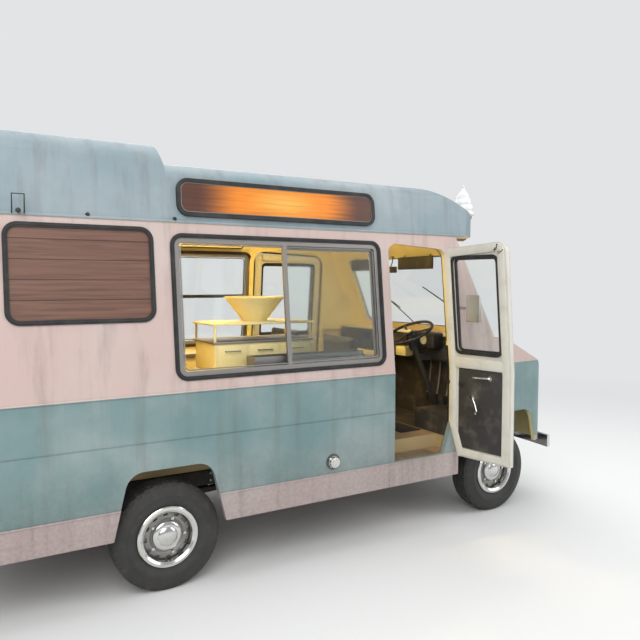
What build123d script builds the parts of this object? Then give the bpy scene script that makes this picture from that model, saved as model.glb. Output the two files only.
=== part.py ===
"""A 1970s British ice-cream van: coach-built body on a light van chassis."""

import os
from math import atan2, cos, degrees, radians, sin, tan

from build123d import *

os.makedirs("parts", exist_ok=True)

# The van is drawn with X forward from the rear axle, Y to its left from the
# centre plane and Z up from the ground. All sizes are in millimetres.

# Driving sizes, on which the others hang
wheelbase = 2692
half_width = 1030
tyre_radius = 325

# Places along the van that go with the front axle
post_x = wheelbase - 542
brow_x = wheelbase - 137
screen_foot_x = wheelbase + 88
screen_head_x = screen_foot_x - 380
nose_x = wheelbase + 608

# Chassis
track_half = half_width - 160
tyre_width = 185
rim_radius = 178
rail_y = 400
rail_width = 60
rail_low = 430
rail_height = 100
rail_rear = -1090
rail_front = nose_x - 120

eye_length = 70
eye_thickness = 15
eye_radius = 13
eye_low = 470

# Body levels and outline
wall = 40
sill_z = 392
skirt_z = 564
belt_z = 1200
cant_z = 2201
lean = 6.1
rear_x = -1150
body_corner = 90
skirt_proud = 6
skirt_wall = 30
groove_z = 927
groove_width = 9
groove_depth = 4

# Roof
roof_wall = 34
high_edge_z = 2645
high_crown_z = 2690
high_corner = 120
low_edge_z = 2540
low_crown_z = 2585
low_corner = 95
step_foot_x = 20
step_rake = 55
brow_bow = 45
brow_corner = 290
brow_lip_z = 2170
tail_fall_x = -500
tail_fall = 170
roof_reach = 3000

# Cab front and nose
screen_foot_z = 1400
screen_head_z = 2100
screen_bow = 45
screen_corner = 250
nose_wall = 30
nose_top_z = 1075
nose_taper = 60

# Wheel arches, as half widths at the foot and the head
rear_arch = (350, 245, 765)
front_arch = (475, 355, 805)
arch_corner = 110
well_wall = 15
rear_well_x = 400
rear_well_y = half_width - 290
rear_well_z = 790
cab_well_x = post_x + 45
cab_well_y = half_width - 485
cab_well_z = 821
bulkhead_x = screen_foot_x - 180
bulkhead_wall = 20

# Doors
door_gap = 6
hinge_proud = 14
hinge_x = post_x + 3
hinge_y = half_width + hinge_proud
hinge_zs = (930, 1290)
hinge_radius = 9
hinge_length = 90
hinge_ear = 25
door_open_angle = 100
right_door_rear = post_x - 530
left_door_rear = post_x - 720
door_foot_z = 565
door_head_rear_z = 2125
door_head_front_z = 2090
door_head_corner = 70
cut_foot_x = post_x - 77
cut_head_z = 790
door_frame = 62
door_glass_foot_z = 1330

# Windows
glass = 6
fit = 0.3
seal_width = 26
seal_proud = 7
frame_width = 34
frame_depth = 30
window_corner = 75

# Floor
floor_z = 660
floor_thickness = 20
step_z = 561
step_y = half_width - 230
bearer_width = 40
bearer_y = half_width - 50
bearer_xs = (-1000, -480, 480, 1000, post_x - 590)

# Signs, panels and lamps
sign = (84, post_x - 644, 2234, 2459)
sign_depth = 22
sign_frame_width = 24

# Axles, springs and wheels
axle_radius = 40
drum_radius = 125
differential_radius = 135
wheel_face_inset = 46.5
running_gap = 0.5
spring_width = 60
spring_leaf = 30
spring_half = 600
kingpin_y = track_half - 110
kingpin_radius = 32
boss_half_height = 40
lug_thickness = 20

# Steering
steering_wheel_at = (post_x + 50, 580 - half_width, 1430)
steering_tilt = 25
steering_wheel_radius = 200
spoke_width = 26
spoke_thickness = 10
grip_radius = 13

# Nose details
bonnet = (screen_foot_x + 55, nose_x - 110, half_width - 430)
bonnet_gap = 6
grille = (half_width - 560, 640, 930)
grille_bars = 9
grille_bays = 3
grille_bar = 12
grille_post = 26
grille_border = 40
grille_corner = 50
headlamp_y = half_width - 385
headlamp_z = 835
headlamp_radius = 92
headlamp_depth = 90
lens_radius = 80
lens_bulge = 24
indicator_z = 690
indicator_radius = 30

# Cones on the brow
cone_x = brow_x + 58
cone_y = half_width - 405
cone_foot_z = 2196
cone_height = 415


def wall_y(z):
    """Half width of the body's outer face at a height."""
    return half_width - max(0, z - belt_z) * tan(radians(lean))


def body_section(x, inset, edge_z, crown_z, corner, foot_z):
    """Cross-section of the body at a station: sides, leaning uppers and a crowned roof."""
    foot = half_width - inset
    edge = wall_y(edge_z) - inset
    with BuildSketch(Plane.YZ.offset(x)) as section:
        with BuildLine():
            Polyline(
                (-edge, edge_z),
                (-foot, belt_z),
                (-foot, foot_z),
                (foot, foot_z),
                (foot, belt_z),
                (edge, edge_z),
            )
            ThreePointArc((edge, edge_z), (0, crown_z), (-edge, edge_z))
        make_face()
        fillet(section.vertices().group_by(Axis.Y)[-1], corner)
    return section.sketch


def plan_outline(z, rear, front, half, bow, rear_corner, front_corner):
    """Plan of the body at a height: straight sides, a bowed front and round corners."""
    with BuildSketch(Plane.XY.offset(z)) as plan:
        with BuildLine():
            Polyline((front - bow, half), (rear, half), (rear, -half), (front - bow, -half))
            ThreePointArc((front - bow, -half), (front, 0), (front - bow, half))
        make_face()
        fillet(plan.vertices().group_by(Axis.X)[0], rear_corner)
        fillet(plan.vertices().group_by(Axis.X)[-1], front_corner)
    return plan.sketch


def roof_profile(inset):
    """Side profile of the roof: raised rear part, raked step, low roof and falling brow."""
    front = brow_x + 20 - inset
    rear = rear_x - 5
    rear_z = high_edge_z - tail_fall - inset
    low_x = step_foot_x - inset
    high_x = low_x - step_rake
    high_z = high_crown_z - 5 - inset
    with BuildSketch(Plane.XZ) as profile:
        with BuildLine():
            lip = (front, brow_lip_z - inset)
            forehead = (brow_x - 135, 2390 - inset)
            flat_end = (brow_x - 915, 2590 - inset)
            Polyline((rear, rear_z), (rear, belt_z), (front, belt_z), lip)
            ThreePointArc(lip, (brow_x - 25 - inset, 2315 - inset), forehead)
            ThreePointArc(forehead, (brow_x - 465, 2525 - inset), flat_end)
            Polyline(
                flat_end,
                (low_x + 40, low_crown_z + 3 - inset),
                (low_x, low_edge_z - 15 - inset),
                (high_x, high_z + 5),
                (tail_fall_x, high_z),
            )
            ThreePointArc((tail_fall_x, high_z), (tail_fall_x - 400, high_z - 35), (rear, rear_z))
        make_face()
    return profile.sketch


def body_form(inset):
    """Closed form of the body from the sill to above the cant rail, moved in by the inset."""
    rear = rear_x + inset
    front = post_x + 100
    with BuildPart() as form:
        section = body_section(rear, inset, high_edge_z, high_crown_z, high_corner, sill_z - 10)
        extrude(section, amount=front - rear)
        plan = plan_outline(0, rear, front, half_width + 10 - inset, 1, body_corner - inset, 1)
        extrude(plan, amount=cant_z + 400, mode=Mode.INTERSECT)
    return form.part


def roof_form(inset):
    """Closed form of the roof with its raised rear part, step and rounded brow."""
    rear = rear_x + inset
    low_rear = step_foot_x - inset
    front = brow_x + brow_bow - inset
    half = half_width - 100 - inset
    foot_z = belt_z - 100
    with BuildPart() as form:
        high_levels = (high_edge_z - inset, high_crown_z - inset, high_corner - inset)
        low_levels = (low_edge_z - inset, low_crown_z - inset, low_corner - inset)
        extrude(body_section(rear, inset, *high_levels, foot_z), amount=low_rear - rear)
        extrude(body_section(low_rear, inset, *low_levels, foot_z), amount=front - low_rear + 100)
        extrude(roof_profile(inset), amount=half_width, both=True, mode=Mode.INTERSECT)
        plan = plan_outline(0, rear, front, half, brow_bow, body_corner - inset, brow_corner - inset)
        extrude(plan, amount=roof_reach, mode=Mode.INTERSECT)
    return form.part


screen_rake = atan2(screen_foot_x - screen_head_x, screen_head_z - screen_foot_z)


def cab_form(inset, foot_z, half):
    """Closed form of the cab front behind the raked windscreen, up to the cant rail."""
    foot_x = screen_foot_x + (screen_foot_z - foot_z) * tan(screen_rake) - inset
    plan = plan_outline(foot_z, 1500, foot_x, half - inset, screen_bow, 1, screen_corner - inset)
    with BuildPart() as form:
        slope = (-sin(screen_rake), 0, cos(screen_rake))
        extrude(plan, amount=(cant_z - foot_z) / cos(screen_rake), dir=slope)
        section = body_section(post_x, inset, high_edge_z, high_crown_z, high_corner, belt_z - 300)
        extrude(section, amount=1000, mode=Mode.INTERSECT)
    return form.part


def arch_outline(centre_x, arch, grow=0):
    """Outline of a wheel arch in the XZ plane: slanting sides and rounded shoulders."""
    foot, head, top_z = arch
    with BuildSketch(Plane.XZ) as outline:
        with BuildLine():
            Polyline(
                (centre_x - foot - grow, sill_z - 60),
                (centre_x + foot + grow, sill_z - 60),
                (centre_x + head + grow, top_z + grow),
                (centre_x - head - grow, top_z + grow),
                close=True,
            )
        make_face()
        fillet(outline.vertices().group_by(Axis.Y)[-1], arch_corner)
    return outline.sketch


def door_outline(rear, gap):
    """Outline of a cab door or its opening in the XZ plane, drawn in by a gap."""
    with BuildSketch(Plane.XZ) as outline:
        with BuildLine():
            Polyline(
                (rear + gap, door_foot_z + gap),
                (cut_foot_x - gap, door_foot_z + gap),
                (post_x - gap, cut_head_z + gap),
                (post_x - gap, door_head_front_z - gap),
                (rear + gap, door_head_rear_z - gap),
                close=True,
            )
        make_face()
        fillet(outline.vertices().sort_by(Axis.Y)[-2:], door_head_corner)
    return outline.sketch


# Planes of the upper walls' outer faces: the way that local X runs along the van, and the
# plane, whose local Y runs up the lean
upper_walls = {
    side: (
        along,
        Plane(
            origin=(0, -along * half_width, belt_z),
            x_dir=(along, 0, 0),
            z_dir=(0, -along * cos(radians(lean)), sin(radians(lean))),
        ),
    )
    for side, along in (("right", 1), ("left", -1))
}


def up(z):
    """Distance up the leaning wall from the belt to a height."""
    return (z - belt_z) / cos(radians(lean))


pieces = []


def finish(piece, name):
    """Label a finished piece and keep it for the export."""
    piece.label = name
    pieces.append(piece)


def block(x_range, y_range, z_range, mode=Mode.ADD):
    """Add, cut or keep a block given by its limits, in the part being built."""
    ranges = (x_range, y_range, z_range)
    with Locations(tuple((low + high) / 2 for low, high in ranges)):
        Box(*[high - low for low, high in ranges], mode=mode)


def both_sides(low, high):
    """The limits in Y of a right and a left piece that mirror each other."""
    return ((-high, -low), (low, high))


# Body shell, split where the real panels meet
with BuildPart() as body_shell:
    add(body_form(0))
    add(body_form(wall), mode=Mode.SUBTRACT)

side_rear_x = rear_x + body_corner + 20
far = half_width + 200
through = 100
shell_share = 230

# Openings of the two upper walls: rear, front, foot and head of the seal's outer edge
serving_windows = {
    "right": (34, right_door_rear - 72, 1264, 2132),
    "left": (34, left_door_rear - 35, 1264, 2132),
}
board_opening = (-850, -63, 1614, 2159)
seal_on_wall = 20


def wall_outline(side, limits, corner, inset=0, hole_inset=None, offset=0):
    """Rounded outline on an upper wall, drawn in by an inset, with a hole if that has an inset too."""
    rear, front, foot, head = limits
    along, plane = upper_walls[side]
    with BuildSketch(plane.offset(offset)) as outline:
        with Locations((along * (rear + front) / 2, (up(foot) + up(head)) / 2)):
            RectangleRounded(front - rear - 2 * inset, up(head) - up(foot) - 2 * inset, corner - inset)
            if hole_inset:
                hole = (front - rear - 2 * hole_inset, up(head) - up(foot) - 2 * hole_inset)
                RectangleRounded(*hole, corner - hole_inset, mode=Mode.SUBTRACT)
    return outline.sketch


def side_of(part, side):
    """The right-hand part itself, or its mirror image for the left side."""
    return part if side == "right" else part.mirror(Plane.XZ)


for side, door_rear in (("right", right_door_rear), ("left", left_door_rear)):
    with BuildPart() as lower:
        add(body_shell.part)
        block((side_rear_x, post_x), (-far, shell_share - half_width), (skirt_z, belt_z), Mode.INTERSECT)
        extrude(arch_outline(0, rear_arch), amount=far, both=True, mode=Mode.SUBTRACT)
        extrude(door_outline(door_rear, 0), amount=far, both=True, mode=Mode.SUBTRACT)
        groove_x = (side_rear_x - 1, door_rear + 1)
        groove_range = (groove_z - groove_width / 2, groove_z + groove_width / 2)
        block(groove_x, (-far, groove_depth - half_width), groove_range, Mode.SUBTRACT)
    finish(side_of(lower.part, side), f"side_{side}_lower")

    with BuildPart() as upper:
        add(body_shell.part)
        block((side_rear_x, post_x), (-far, shell_share - half_width), (belt_z, cant_z), Mode.INTERSECT)
        extrude(door_outline(door_rear, 0), amount=far, both=True, mode=Mode.SUBTRACT)
        for opening in (serving_windows[side], board_opening):
            cut = wall_outline("right", opening, window_corner, seal_on_wall)
            extrude(cut, amount=through, both=True, mode=Mode.SUBTRACT)
    finish(side_of(upper.part, side), f"side_{side}_upper")

# Rear wall with its door opening
rear_door = (360, 600, 2080)
rear_door_corner = 60
rear_window = (230, 1450, 1960)


def rear_outline(half, foot, head, inset, corner):
    """Outline on the rear wall's face, drawn in by an inset."""
    with BuildSketch(Plane.YZ.offset(rear_x)) as outline:
        with Locations((0, (foot + head) / 2)):
            RectangleRounded(2 * (half - inset), head - foot - 2 * inset, corner - inset)
    return outline.sketch


with BuildPart() as rear_wall:
    add(body_shell.part)
    block((rear_x - 10, side_rear_x), (-far, far), (skirt_z, cant_z), Mode.INTERSECT)
    extrude(rear_outline(*rear_door, 0, rear_door_corner), amount=through, both=True, mode=Mode.SUBTRACT)
finish(rear_wall.part, "rear_wall")

# Skirt below the side panels, round the tail, cut away at the wheels
skirt_front_x = wheelbase - front_arch[0]
bumper_bracket_y = 400
bracket_width = 60
bracket_low = 450
bracket_high = 500
with BuildPart() as skirts:
    skirt_rear = rear_x - skirt_proud
    skirt_half = half_width + skirt_proud
    skirt_corner = body_corner + skirt_proud
    outer_plan = plan_outline(sill_z, skirt_rear, skirt_front_x, skirt_half, 1, skirt_corner, 0.5)
    extrude(outer_plan, amount=skirt_z - sill_z)
    inner_rear = skirt_rear + skirt_wall
    inner_half = skirt_half - skirt_wall
    inner_corner = skirt_corner - skirt_wall
    inner_plan = plan_outline(sill_z, inner_rear, skirt_front_x + 10, inner_half, 1, inner_corner, 0.5)
    extrude(inner_plan, amount=skirt_z - sill_z, mode=Mode.SUBTRACT)
    extrude(arch_outline(0, rear_arch), amount=far, both=True, mode=Mode.SUBTRACT)
    for y in (-bumper_bracket_y, bumper_bracket_y):
        reach = bracket_width / 2 + fit
        slot_range = (bracket_low - fit, bracket_high + fit)
        block((rear_x - 50, rear_x + 60), (y - reach, y + reach), slot_range, Mode.SUBTRACT)
finish(skirts.part, "skirts")

# Roof shell with its soffit under the brow
soffit = 20
soffit_rear_x = brow_x - 265
with BuildPart() as roof_hollow:
    add(roof_form(roof_wall))
    block((rear_x - 10, roof_reach), (-far, far), (cant_z + soffit, roof_reach), Mode.INTERSECT)
with BuildPart() as roof:
    add(roof_form(0))
    block((rear_x - 10, roof_reach), (-far, far), (cant_z, roof_reach), Mode.INTERSECT)
    add(roof_hollow.part, mode=Mode.SUBTRACT)
    inner_half = wall_y(cant_z) - wall
    throat_range = (cant_z - 10, cant_z + soffit + 10)
    block((rear_x + wall, soffit_rear_x), (-inner_half, inner_half), throat_range, Mode.SUBTRACT)
finish(roof.part, "roof")

# Cab front with the windscreen opening, the glass and its seal
screen_half = half_width - 15
screen_opening = (1455, half_width - 185, 2062, half_width - 302)
screen_opening_corner = 70
screen_reach = 1000


def screen_outline(grow):
    """Windscreen outline seen from the front, in the YZ plane."""
    foot, foot_half, head, head_half = screen_opening
    with BuildSketch(Plane.YZ.offset(post_x + 40)) as outline:
        with BuildLine():
            Polyline(
                (-foot_half - grow, foot - grow),
                (foot_half + grow, foot - grow),
                (head_half + grow, head + grow),
                (-head_half - grow, head + grow),
                close=True,
            )
        make_face()
        fillet(outline.vertices(), screen_opening_corner + grow)
    return outline.sketch


with BuildPart() as cab_front:
    add(cab_form(0, screen_foot_z, screen_half))
    add(cab_form(wall, screen_foot_z, screen_half), mode=Mode.SUBTRACT)
    extrude(screen_outline(0), amount=screen_reach, mode=Mode.SUBTRACT)
finish(cab_front.part, "cab_front")

with BuildPart() as windscreen:
    add(cab_form(wall / 2 - glass / 2, screen_foot_z, screen_half))
    add(cab_form(wall / 2 + glass / 2, screen_foot_z, screen_half), mode=Mode.SUBTRACT)
    extrude(screen_outline(-fit), amount=screen_reach, mode=Mode.INTERSECT)
finish(windscreen.part, "windscreen")

# Nose
nose_bow = 45
nose_corner = 190
nose_brow = 80
nose_taper_x = wheelbase - 142
nose_chin = 25
nose_lean = 15
nose_waist_z = 760
scuttle_lip = 25
front_cut = 200
lamp_bay_x = nose_x - 120
bonnet_foot_x = nose_x - 150
foot_room_x = bulkhead_x - 40


def nose_form(inset, rear, foot):
    """Closed form of the nose: tapering plan, short sloping bonnet and upright face."""
    front = nose_x - inset
    with BuildPart() as form:
        with BuildSketch() as plan:
            with BuildLine():
                half = half_width - inset
                front_half = half - nose_taper
                Polyline(
                    (front - nose_bow, front_half),
                    (nose_taper_x, half),
                    (rear, half),
                    (rear, -half),
                    (nose_taper_x, -half),
                    (front - nose_bow, -front_half),
                )
                ThreePointArc((front - nose_bow, -front_half), (front, 0), (front - nose_bow, front_half))
            make_face()
            fillet(plan.vertices().group_by(Axis.X)[-1], nose_corner - inset)
        extrude(amount=cant_z)
        with BuildSketch(Plane.XZ) as profile:
            with BuildLine():
                Polyline(
                    (front - nose_chin, foot),
                    (front, nose_waist_z),
                    (front - nose_lean, nose_top_z - inset),
                    (bonnet_foot_x, belt_z - inset),
                    (screen_foot_x, screen_foot_z - scuttle_lip - inset),
                    (screen_foot_x - 20, screen_foot_z - inset),
                    (rear, screen_foot_z - inset),
                    (rear, foot),
                    close=True,
                )
            make_face()
            upper_corners = profile.vertices().filter_by(lambda v: v.Y > nose_waist_z + 1)
            fillet(upper_corners.sort_by(Axis.X)[-1], nose_brow - inset)
        extrude(amount=far, both=True, mode=Mode.INTERSECT)
        section = body_section(rear, inset, high_edge_z, high_crown_z, high_corner, sill_z - 200)
        extrude(section, amount=1500, mode=Mode.INTERSECT)
    return form.part


with BuildPart() as nose_shell:
    add(nose_form(0, post_x, skirt_z - 40))
    add(nose_form(nose_wall, post_x - 100, skirt_z - 200), mode=Mode.SUBTRACT)
    foot_room_half = half_width - 70
    foot_room_range = (belt_z, screen_foot_z + 10)
    block((post_x - 10, foot_room_x), (-foot_room_half, foot_room_half), foot_room_range, Mode.SUBTRACT)
    block((post_x - 10, skirt_front_x + 2), (-far, far), (sill_z, skirt_z), Mode.SUBTRACT)
    extrude(arch_outline(wheelbase, front_arch), amount=far, both=True, mode=Mode.SUBTRACT)


bonnet_cut = 600
bonnet_corner = 60


def bonnet_outline(inset):
    """Outline of the bonnet's opening from above, drawn in by an inset."""
    rear, front, half = bonnet
    with BuildSketch(Plane.XY.offset(nose_top_z - 75)) as outline:
        with Locations(((rear + front) / 2, 0)):
            RectangleRounded(front - rear - 2 * inset, 2 * (half - inset), bonnet_corner - inset)
    return outline.sketch


def front_outline(half, foot, head, inset, corner):
    """Rounded rectangle in the YZ plane just behind the nose's face."""
    with BuildSketch(Plane.YZ.offset(lamp_bay_x)) as outline:
        with Locations((0, (foot + head) / 2)):
            RectangleRounded(2 * (half - inset), head - foot - 2 * inset, corner - inset)
    return outline.sketch


with BuildPart() as nose:
    add(nose_shell.part)
    extrude(bonnet_outline(0), amount=bonnet_cut, mode=Mode.SUBTRACT)
    extrude(front_outline(*grille, 0, grille_corner), amount=front_cut, mode=Mode.SUBTRACT)
    with BuildSketch(Plane.YZ.offset(lamp_bay_x)):
        with Locations((-headlamp_y, headlamp_z), (headlamp_y, headlamp_z)):
            Circle(headlamp_radius + fit)
    extrude(amount=front_cut, mode=Mode.SUBTRACT)
    ear_length = 36
    ear_depth = 40
    for outward in (-1, 1):
        for z in hinge_zs:
            reach = hinge_length / 2 + running_gap
            for ear_z in (z - reach - hinge_ear, z + reach):
                with BuildSketch(Plane.XY.offset(ear_z)):
                    with Locations((hinge_x, outward * hinge_y)):
                        Circle(hinge_radius)
                    with Locations((hinge_x + ear_length / 2, outward * (hinge_y - hinge_proud))):
                        Rectangle(ear_length, ear_depth)
                extrude(amount=hinge_ear)
finish(nose.part, "nose")

bonnet_slope = atan2(screen_foot_z - scuttle_lip - belt_z, bonnet_foot_x - screen_foot_x)
bonnet_hinge_radius = 8
bonnet_hinge_y = half_width - 600
bonnet_knuckle = 70
bonnet_strap = (60, 5)
bonnet_hinge_x = bonnet[0] + bonnet_gap / 2
bonnet_hinge_z = belt_z + (bonnet_foot_x - bonnet_hinge_x) * tan(bonnet_slope)
bonnet_out = (sin(bonnet_slope), 0, cos(bonnet_slope))
bonnet_along = (cos(bonnet_slope), 0, -sin(bonnet_slope))
bonnet_pivot = Vector(bonnet_hinge_x, 0, bonnet_hinge_z) + Vector(*bonnet_out) * (bonnet_hinge_radius + fit)
with BuildPart() as bonnet_lid:
    add(nose_shell.part)
    extrude(bonnet_outline(bonnet_gap), amount=bonnet_cut, mode=Mode.INTERSECT)
    for y in (-bonnet_hinge_y, bonnet_hinge_y):
        knuckle_end = bonnet_pivot + Vector(0, y + bonnet_knuckle / 2, 0)
        with BuildSketch(Plane(origin=knuckle_end, x_dir=bonnet_along, z_dir=(0, -1, 0))):
            Circle(bonnet_hinge_radius)
            with Locations((bonnet_strap[0] / 2 + 5, 2 - bonnet_hinge_radius)):
                Rectangle(*bonnet_strap)
        extrude(amount=bonnet_knuckle)
finish(bonnet_lid.part, "bonnet")

with BuildPart() as grille_piece:
    add(nose_form(-6, post_x, skirt_z - 40))
    add(nose_form(18, post_x - 100, skirt_z - 200), mode=Mode.SUBTRACT)
    extrude(front_outline(*grille, fit, grille_corner), amount=front_cut, mode=Mode.INTERSECT)
    with BuildSketch(Plane.YZ.offset(lamp_bay_x)):
        grille_half, grille_foot, grille_head = grille
        pitch = (grille_head - grille_foot - grille_border) / grille_bars
        bay = 2 * grille_half / grille_bays
        with Locations((0, (grille_foot + grille_head) / 2)):
            with GridLocations(bay, pitch, grille_bays, grille_bars):
                Rectangle(bay - grille_post, pitch - grille_bar)
    extrude(amount=front_cut, mode=Mode.SUBTRACT)
finish(grille_piece.part, "grille")

# Round lamps in the nose
with BuildPart() as headlamps:
    for y in (-headlamp_y, headlamp_y):
        with BuildSketch(Plane.YZ.offset(nose_x - headlamp_depth)):
            with Locations((y, headlamp_z)):
                Circle(headlamp_radius)
        extrude(amount=headlamp_depth)
        with BuildSketch(Plane.YZ.offset(nose_x)):
            with Locations((y, headlamp_z)):
                Circle(headlamp_radius + 8)
                Circle(lens_radius, mode=Mode.SUBTRACT)
        extrude(amount=lens_bulge / 2)
    for y in (-headlamp_y, headlamp_y):
        with BuildSketch(Plane(origin=(nose_x, y, headlamp_z), x_dir=(1, 0, 0), z_dir=(0, 0, 1))):
            with BuildLine():
                lens_shoulder = (lens_bulge * 0.75, lens_radius * 0.6)
                Polyline((0, lens_radius), (0, 0), (lens_bulge, 0), lens_shoulder, close=True)
            make_face()
        revolve(axis=Axis((nose_x, y, headlamp_z), (1, 0, 0)))
finish(headlamps.part, "headlamps")

# Cab doors, each the whole thickness of the wall, with a window and its glass
door_glass_head_z = door_head_front_z - door_frame + 8
door_window_corner = 55
hinge_strap = 90
hinge_plate = 6


for side, door_rear in (("right", right_door_rear), ("left", left_door_rear)):
    door_window = (door_rear + door_frame, post_x - door_frame, door_glass_foot_z, door_glass_head_z)
    with BuildPart() as door:
        add(body_shell.part)
        block((door_rear, post_x), (-far, shell_share - half_width), (skirt_z - 60, cant_z), Mode.INTERSECT)
        extrude(door_outline(door_rear, door_gap), amount=far, both=True, mode=Mode.INTERSECT)
        cut = wall_outline("right", door_window, door_window_corner, seal_on_wall)
        extrude(cut, amount=through, both=True, mode=Mode.SUBTRACT)
        for z in hinge_zs:
            strap_y = -hinge_y + hinge_radius - hinge_plate
            with BuildSketch(Plane.XY.offset(z - hinge_length / 2)):
                with Locations((hinge_x, -hinge_y)):
                    Circle(hinge_radius)
                with Locations((hinge_x - hinge_strap / 2, strap_y + hinge_plate / 2)):
                    Rectangle(hinge_strap, hinge_plate)
            extrude(amount=hinge_length)
            packing = (z - hinge_length / 2, z + hinge_length / 2)
            block((hinge_x - hinge_strap, hinge_x - 20), (strap_y, 12 - half_width), packing)
    with BuildPart() as pane:
        pane_edge = seal_on_wall + fit
        pane_outline = wall_outline("right", door_window, door_window_corner, pane_edge, offset=-wall / 2)
        extrude(pane_outline, amount=glass / 2, both=True)
    for piece, name in ((door.part, "door"), (pane.part, "door_glass")):
        placed = side_of(piece, side)
        if side == "right":
            placed = placed.rotate(Axis((hinge_x, -hinge_y, 0), (0, 0, 1)), door_open_angle)
        finish(placed, f"{name}_{side}")

# Rear door with its window
rear_hinge_y = rear_door[0] - door_gap / 2
rear_hinge_strap = 76
rear_hinge_zs = (760, 1340, 1920)
rear_window_corner = 60
with BuildPart() as rear_leaf:
    add(body_shell.part)
    block((rear_x - 10, rear_x + wall + 1), (-far, far), (skirt_z, cant_z), Mode.INTERSECT)
    leaf_outline = rear_outline(*rear_door, door_gap, rear_door_corner)
    extrude(leaf_outline, amount=through, both=True, mode=Mode.INTERSECT)
    window_cut = rear_outline(*rear_window, seal_on_wall, rear_window_corner)
    extrude(window_cut, amount=through, both=True, mode=Mode.SUBTRACT)
    for z in rear_hinge_zs:
        with BuildSketch(Plane.XY.offset(z - hinge_length / 2)):
            with Locations((rear_x - hinge_radius - 1, rear_hinge_y)):
                Circle(hinge_radius)
            with Locations((rear_x - hinge_plate / 2, rear_hinge_y - rear_hinge_strap / 2 - 2)):
                Rectangle(hinge_plate, rear_hinge_strap)
        extrude(amount=hinge_length)
finish(rear_leaf.part, "rear_door")
with BuildPart() as rear_glass:
    rear_pane = rear_outline(*rear_window, seal_on_wall + fit, rear_window_corner)
    extrude(rear_pane.moved(Location((wall / 2, 0, 0))), amount=glass / 2, both=True)
finish(rear_glass.part, "rear_door_glass")

# Seals round the openings of both walls and the windscreen
with BuildPart() as screen_seal:
    add(cab_form(-seal_proud, screen_foot_z, screen_half))
    add(cab_form(-fit, screen_foot_z, screen_half), mode=Mode.SUBTRACT)
    extrude(screen_outline(seal_on_wall), amount=screen_reach, mode=Mode.INTERSECT)
    extrude(screen_outline(seal_on_wall - seal_width), amount=screen_reach, mode=Mode.SUBTRACT)
with BuildPart() as seals:
    for side, serving_window in serving_windows.items():
        for opening in (serving_window, board_opening):
            extrude(wall_outline(side, opening, window_corner, 0, seal_width, fit), amount=seal_proud)
    add(screen_seal.part)
finish(seals.part, "window_seals")

# Brown boards of the rear openings
with BuildPart() as boards:
    for side in upper_walls:
        board_outline = wall_outline(side, board_opening, window_corner, seal_on_wall + fit, offset=-fit)
        extrude(board_outline, amount=-wall / 2)
finish(boards.part, "window_boards")

# Aluminium frames of the large windows: a meeting bar on the right, a transom on the left
bar_width = 30
bar_depth = 12
transom_z = 1720
frame_inner = seal_on_wall + frame_width
serving_right = serving_windows["right"]
serving_left = serving_windows["left"]
serving_rear, serving_front, serving_foot, serving_head = serving_right
meeting_x = (serving_rear + serving_front) / 2 - 1
serving_middle = (up(serving_foot) + up(serving_head)) / 2
far_rear, far_front = serving_left[:2]
with BuildPart() as frames:
    for side, serving_window in serving_windows.items():
        frame_outer = seal_on_wall + fit
        frame_outline = wall_outline(side, serving_window, window_corner, frame_outer, frame_inner, -fit)
        extrude(frame_outline, amount=-frame_depth)
    with BuildSketch(upper_walls["right"][1].offset(-fit)):
        with Locations((meeting_x, serving_middle)):
            Rectangle(bar_width, up(serving_head) - up(serving_foot) - 2 * seal_on_wall - frame_width)
    extrude(amount=-bar_depth)
    with BuildSketch(upper_walls["left"][1].offset(-fit)):
        with Locations((-(far_rear + far_front) / 2, up(transom_z))):
            Rectangle(far_front - far_rear - 2 * seal_on_wall - frame_width, bar_width)
    extrude(amount=-bar_depth)

# Sliding sash of the serving window, pushed behind the fixed pane
sash_width = 24
sash_depth = 10
sash_glass_depth = 4
pane_inset = frame_inner + fit
sash_rear = meeting_x - 10
sash_front = serving_front - pane_inset - 6
sash_at = ((sash_rear + sash_front) / 2, serving_middle)
sash_length = sash_front - sash_rear
sash_height = up(serving_head) - up(serving_foot) - 2 * pane_inset
sash_face = -bar_depth - glass - 1
with BuildPart() as aluminium:
    add(frames.part)
    with BuildSketch(upper_walls["right"][1].offset(sash_face)):
        with Locations(sash_at):
            RectangleRounded(sash_length, sash_height, window_corner - pane_inset + 5)
            Rectangle(sash_length - 2 * sash_width, sash_height - 2 * sash_width, mode=Mode.SUBTRACT)
    extrude(amount=-sash_depth)
finish(aluminium.part, "window_frames")

# Panes: the fixed right-hand pane, the far window's and the sash's
pane_face = -bar_depth - fit
with BuildPart() as fixed_pane:
    pane_outline = wall_outline("right", serving_right, window_corner, pane_inset, offset=pane_face)
    extrude(pane_outline, amount=-glass)
    block((meeting_x, serving_front), (-far, 0), (belt_z, cant_z), Mode.INTERSECT)
with BuildPart() as panes:
    add(fixed_pane.part)
    extrude(wall_outline("left", serving_left, window_corner, pane_inset, offset=pane_face), amount=-glass)
    with BuildSketch(upper_walls["right"][1].offset(sash_face - (sash_depth - sash_glass_depth) / 2)):
        with Locations(sash_at):
            sash_inset = 2 * (sash_width + fit)
            Rectangle(sash_length - sash_inset, sash_height - sash_inset)
    extrude(amount=-sash_glass_depth)
finish(panes.part, "window_panes")

# Blank light boxes on the roof's sides
sign_corner = 70
sign_recess = 8
with BuildPart() as sign_frames:
    for side in upper_walls:
        extrude(wall_outline(side, sign, sign_corner, 0, sign_frame_width, fit), amount=sign_depth)
finish(sign_frames.part, "sign_frames")
with BuildPart() as sign_panels:
    for side in upper_walls:
        face = wall_outline(side, sign, sign_corner, sign_frame_width + fit, offset=fit)
        extrude(face, amount=sign_depth - sign_recess)
finish(sign_panels.part, "sign_panels")

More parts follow.
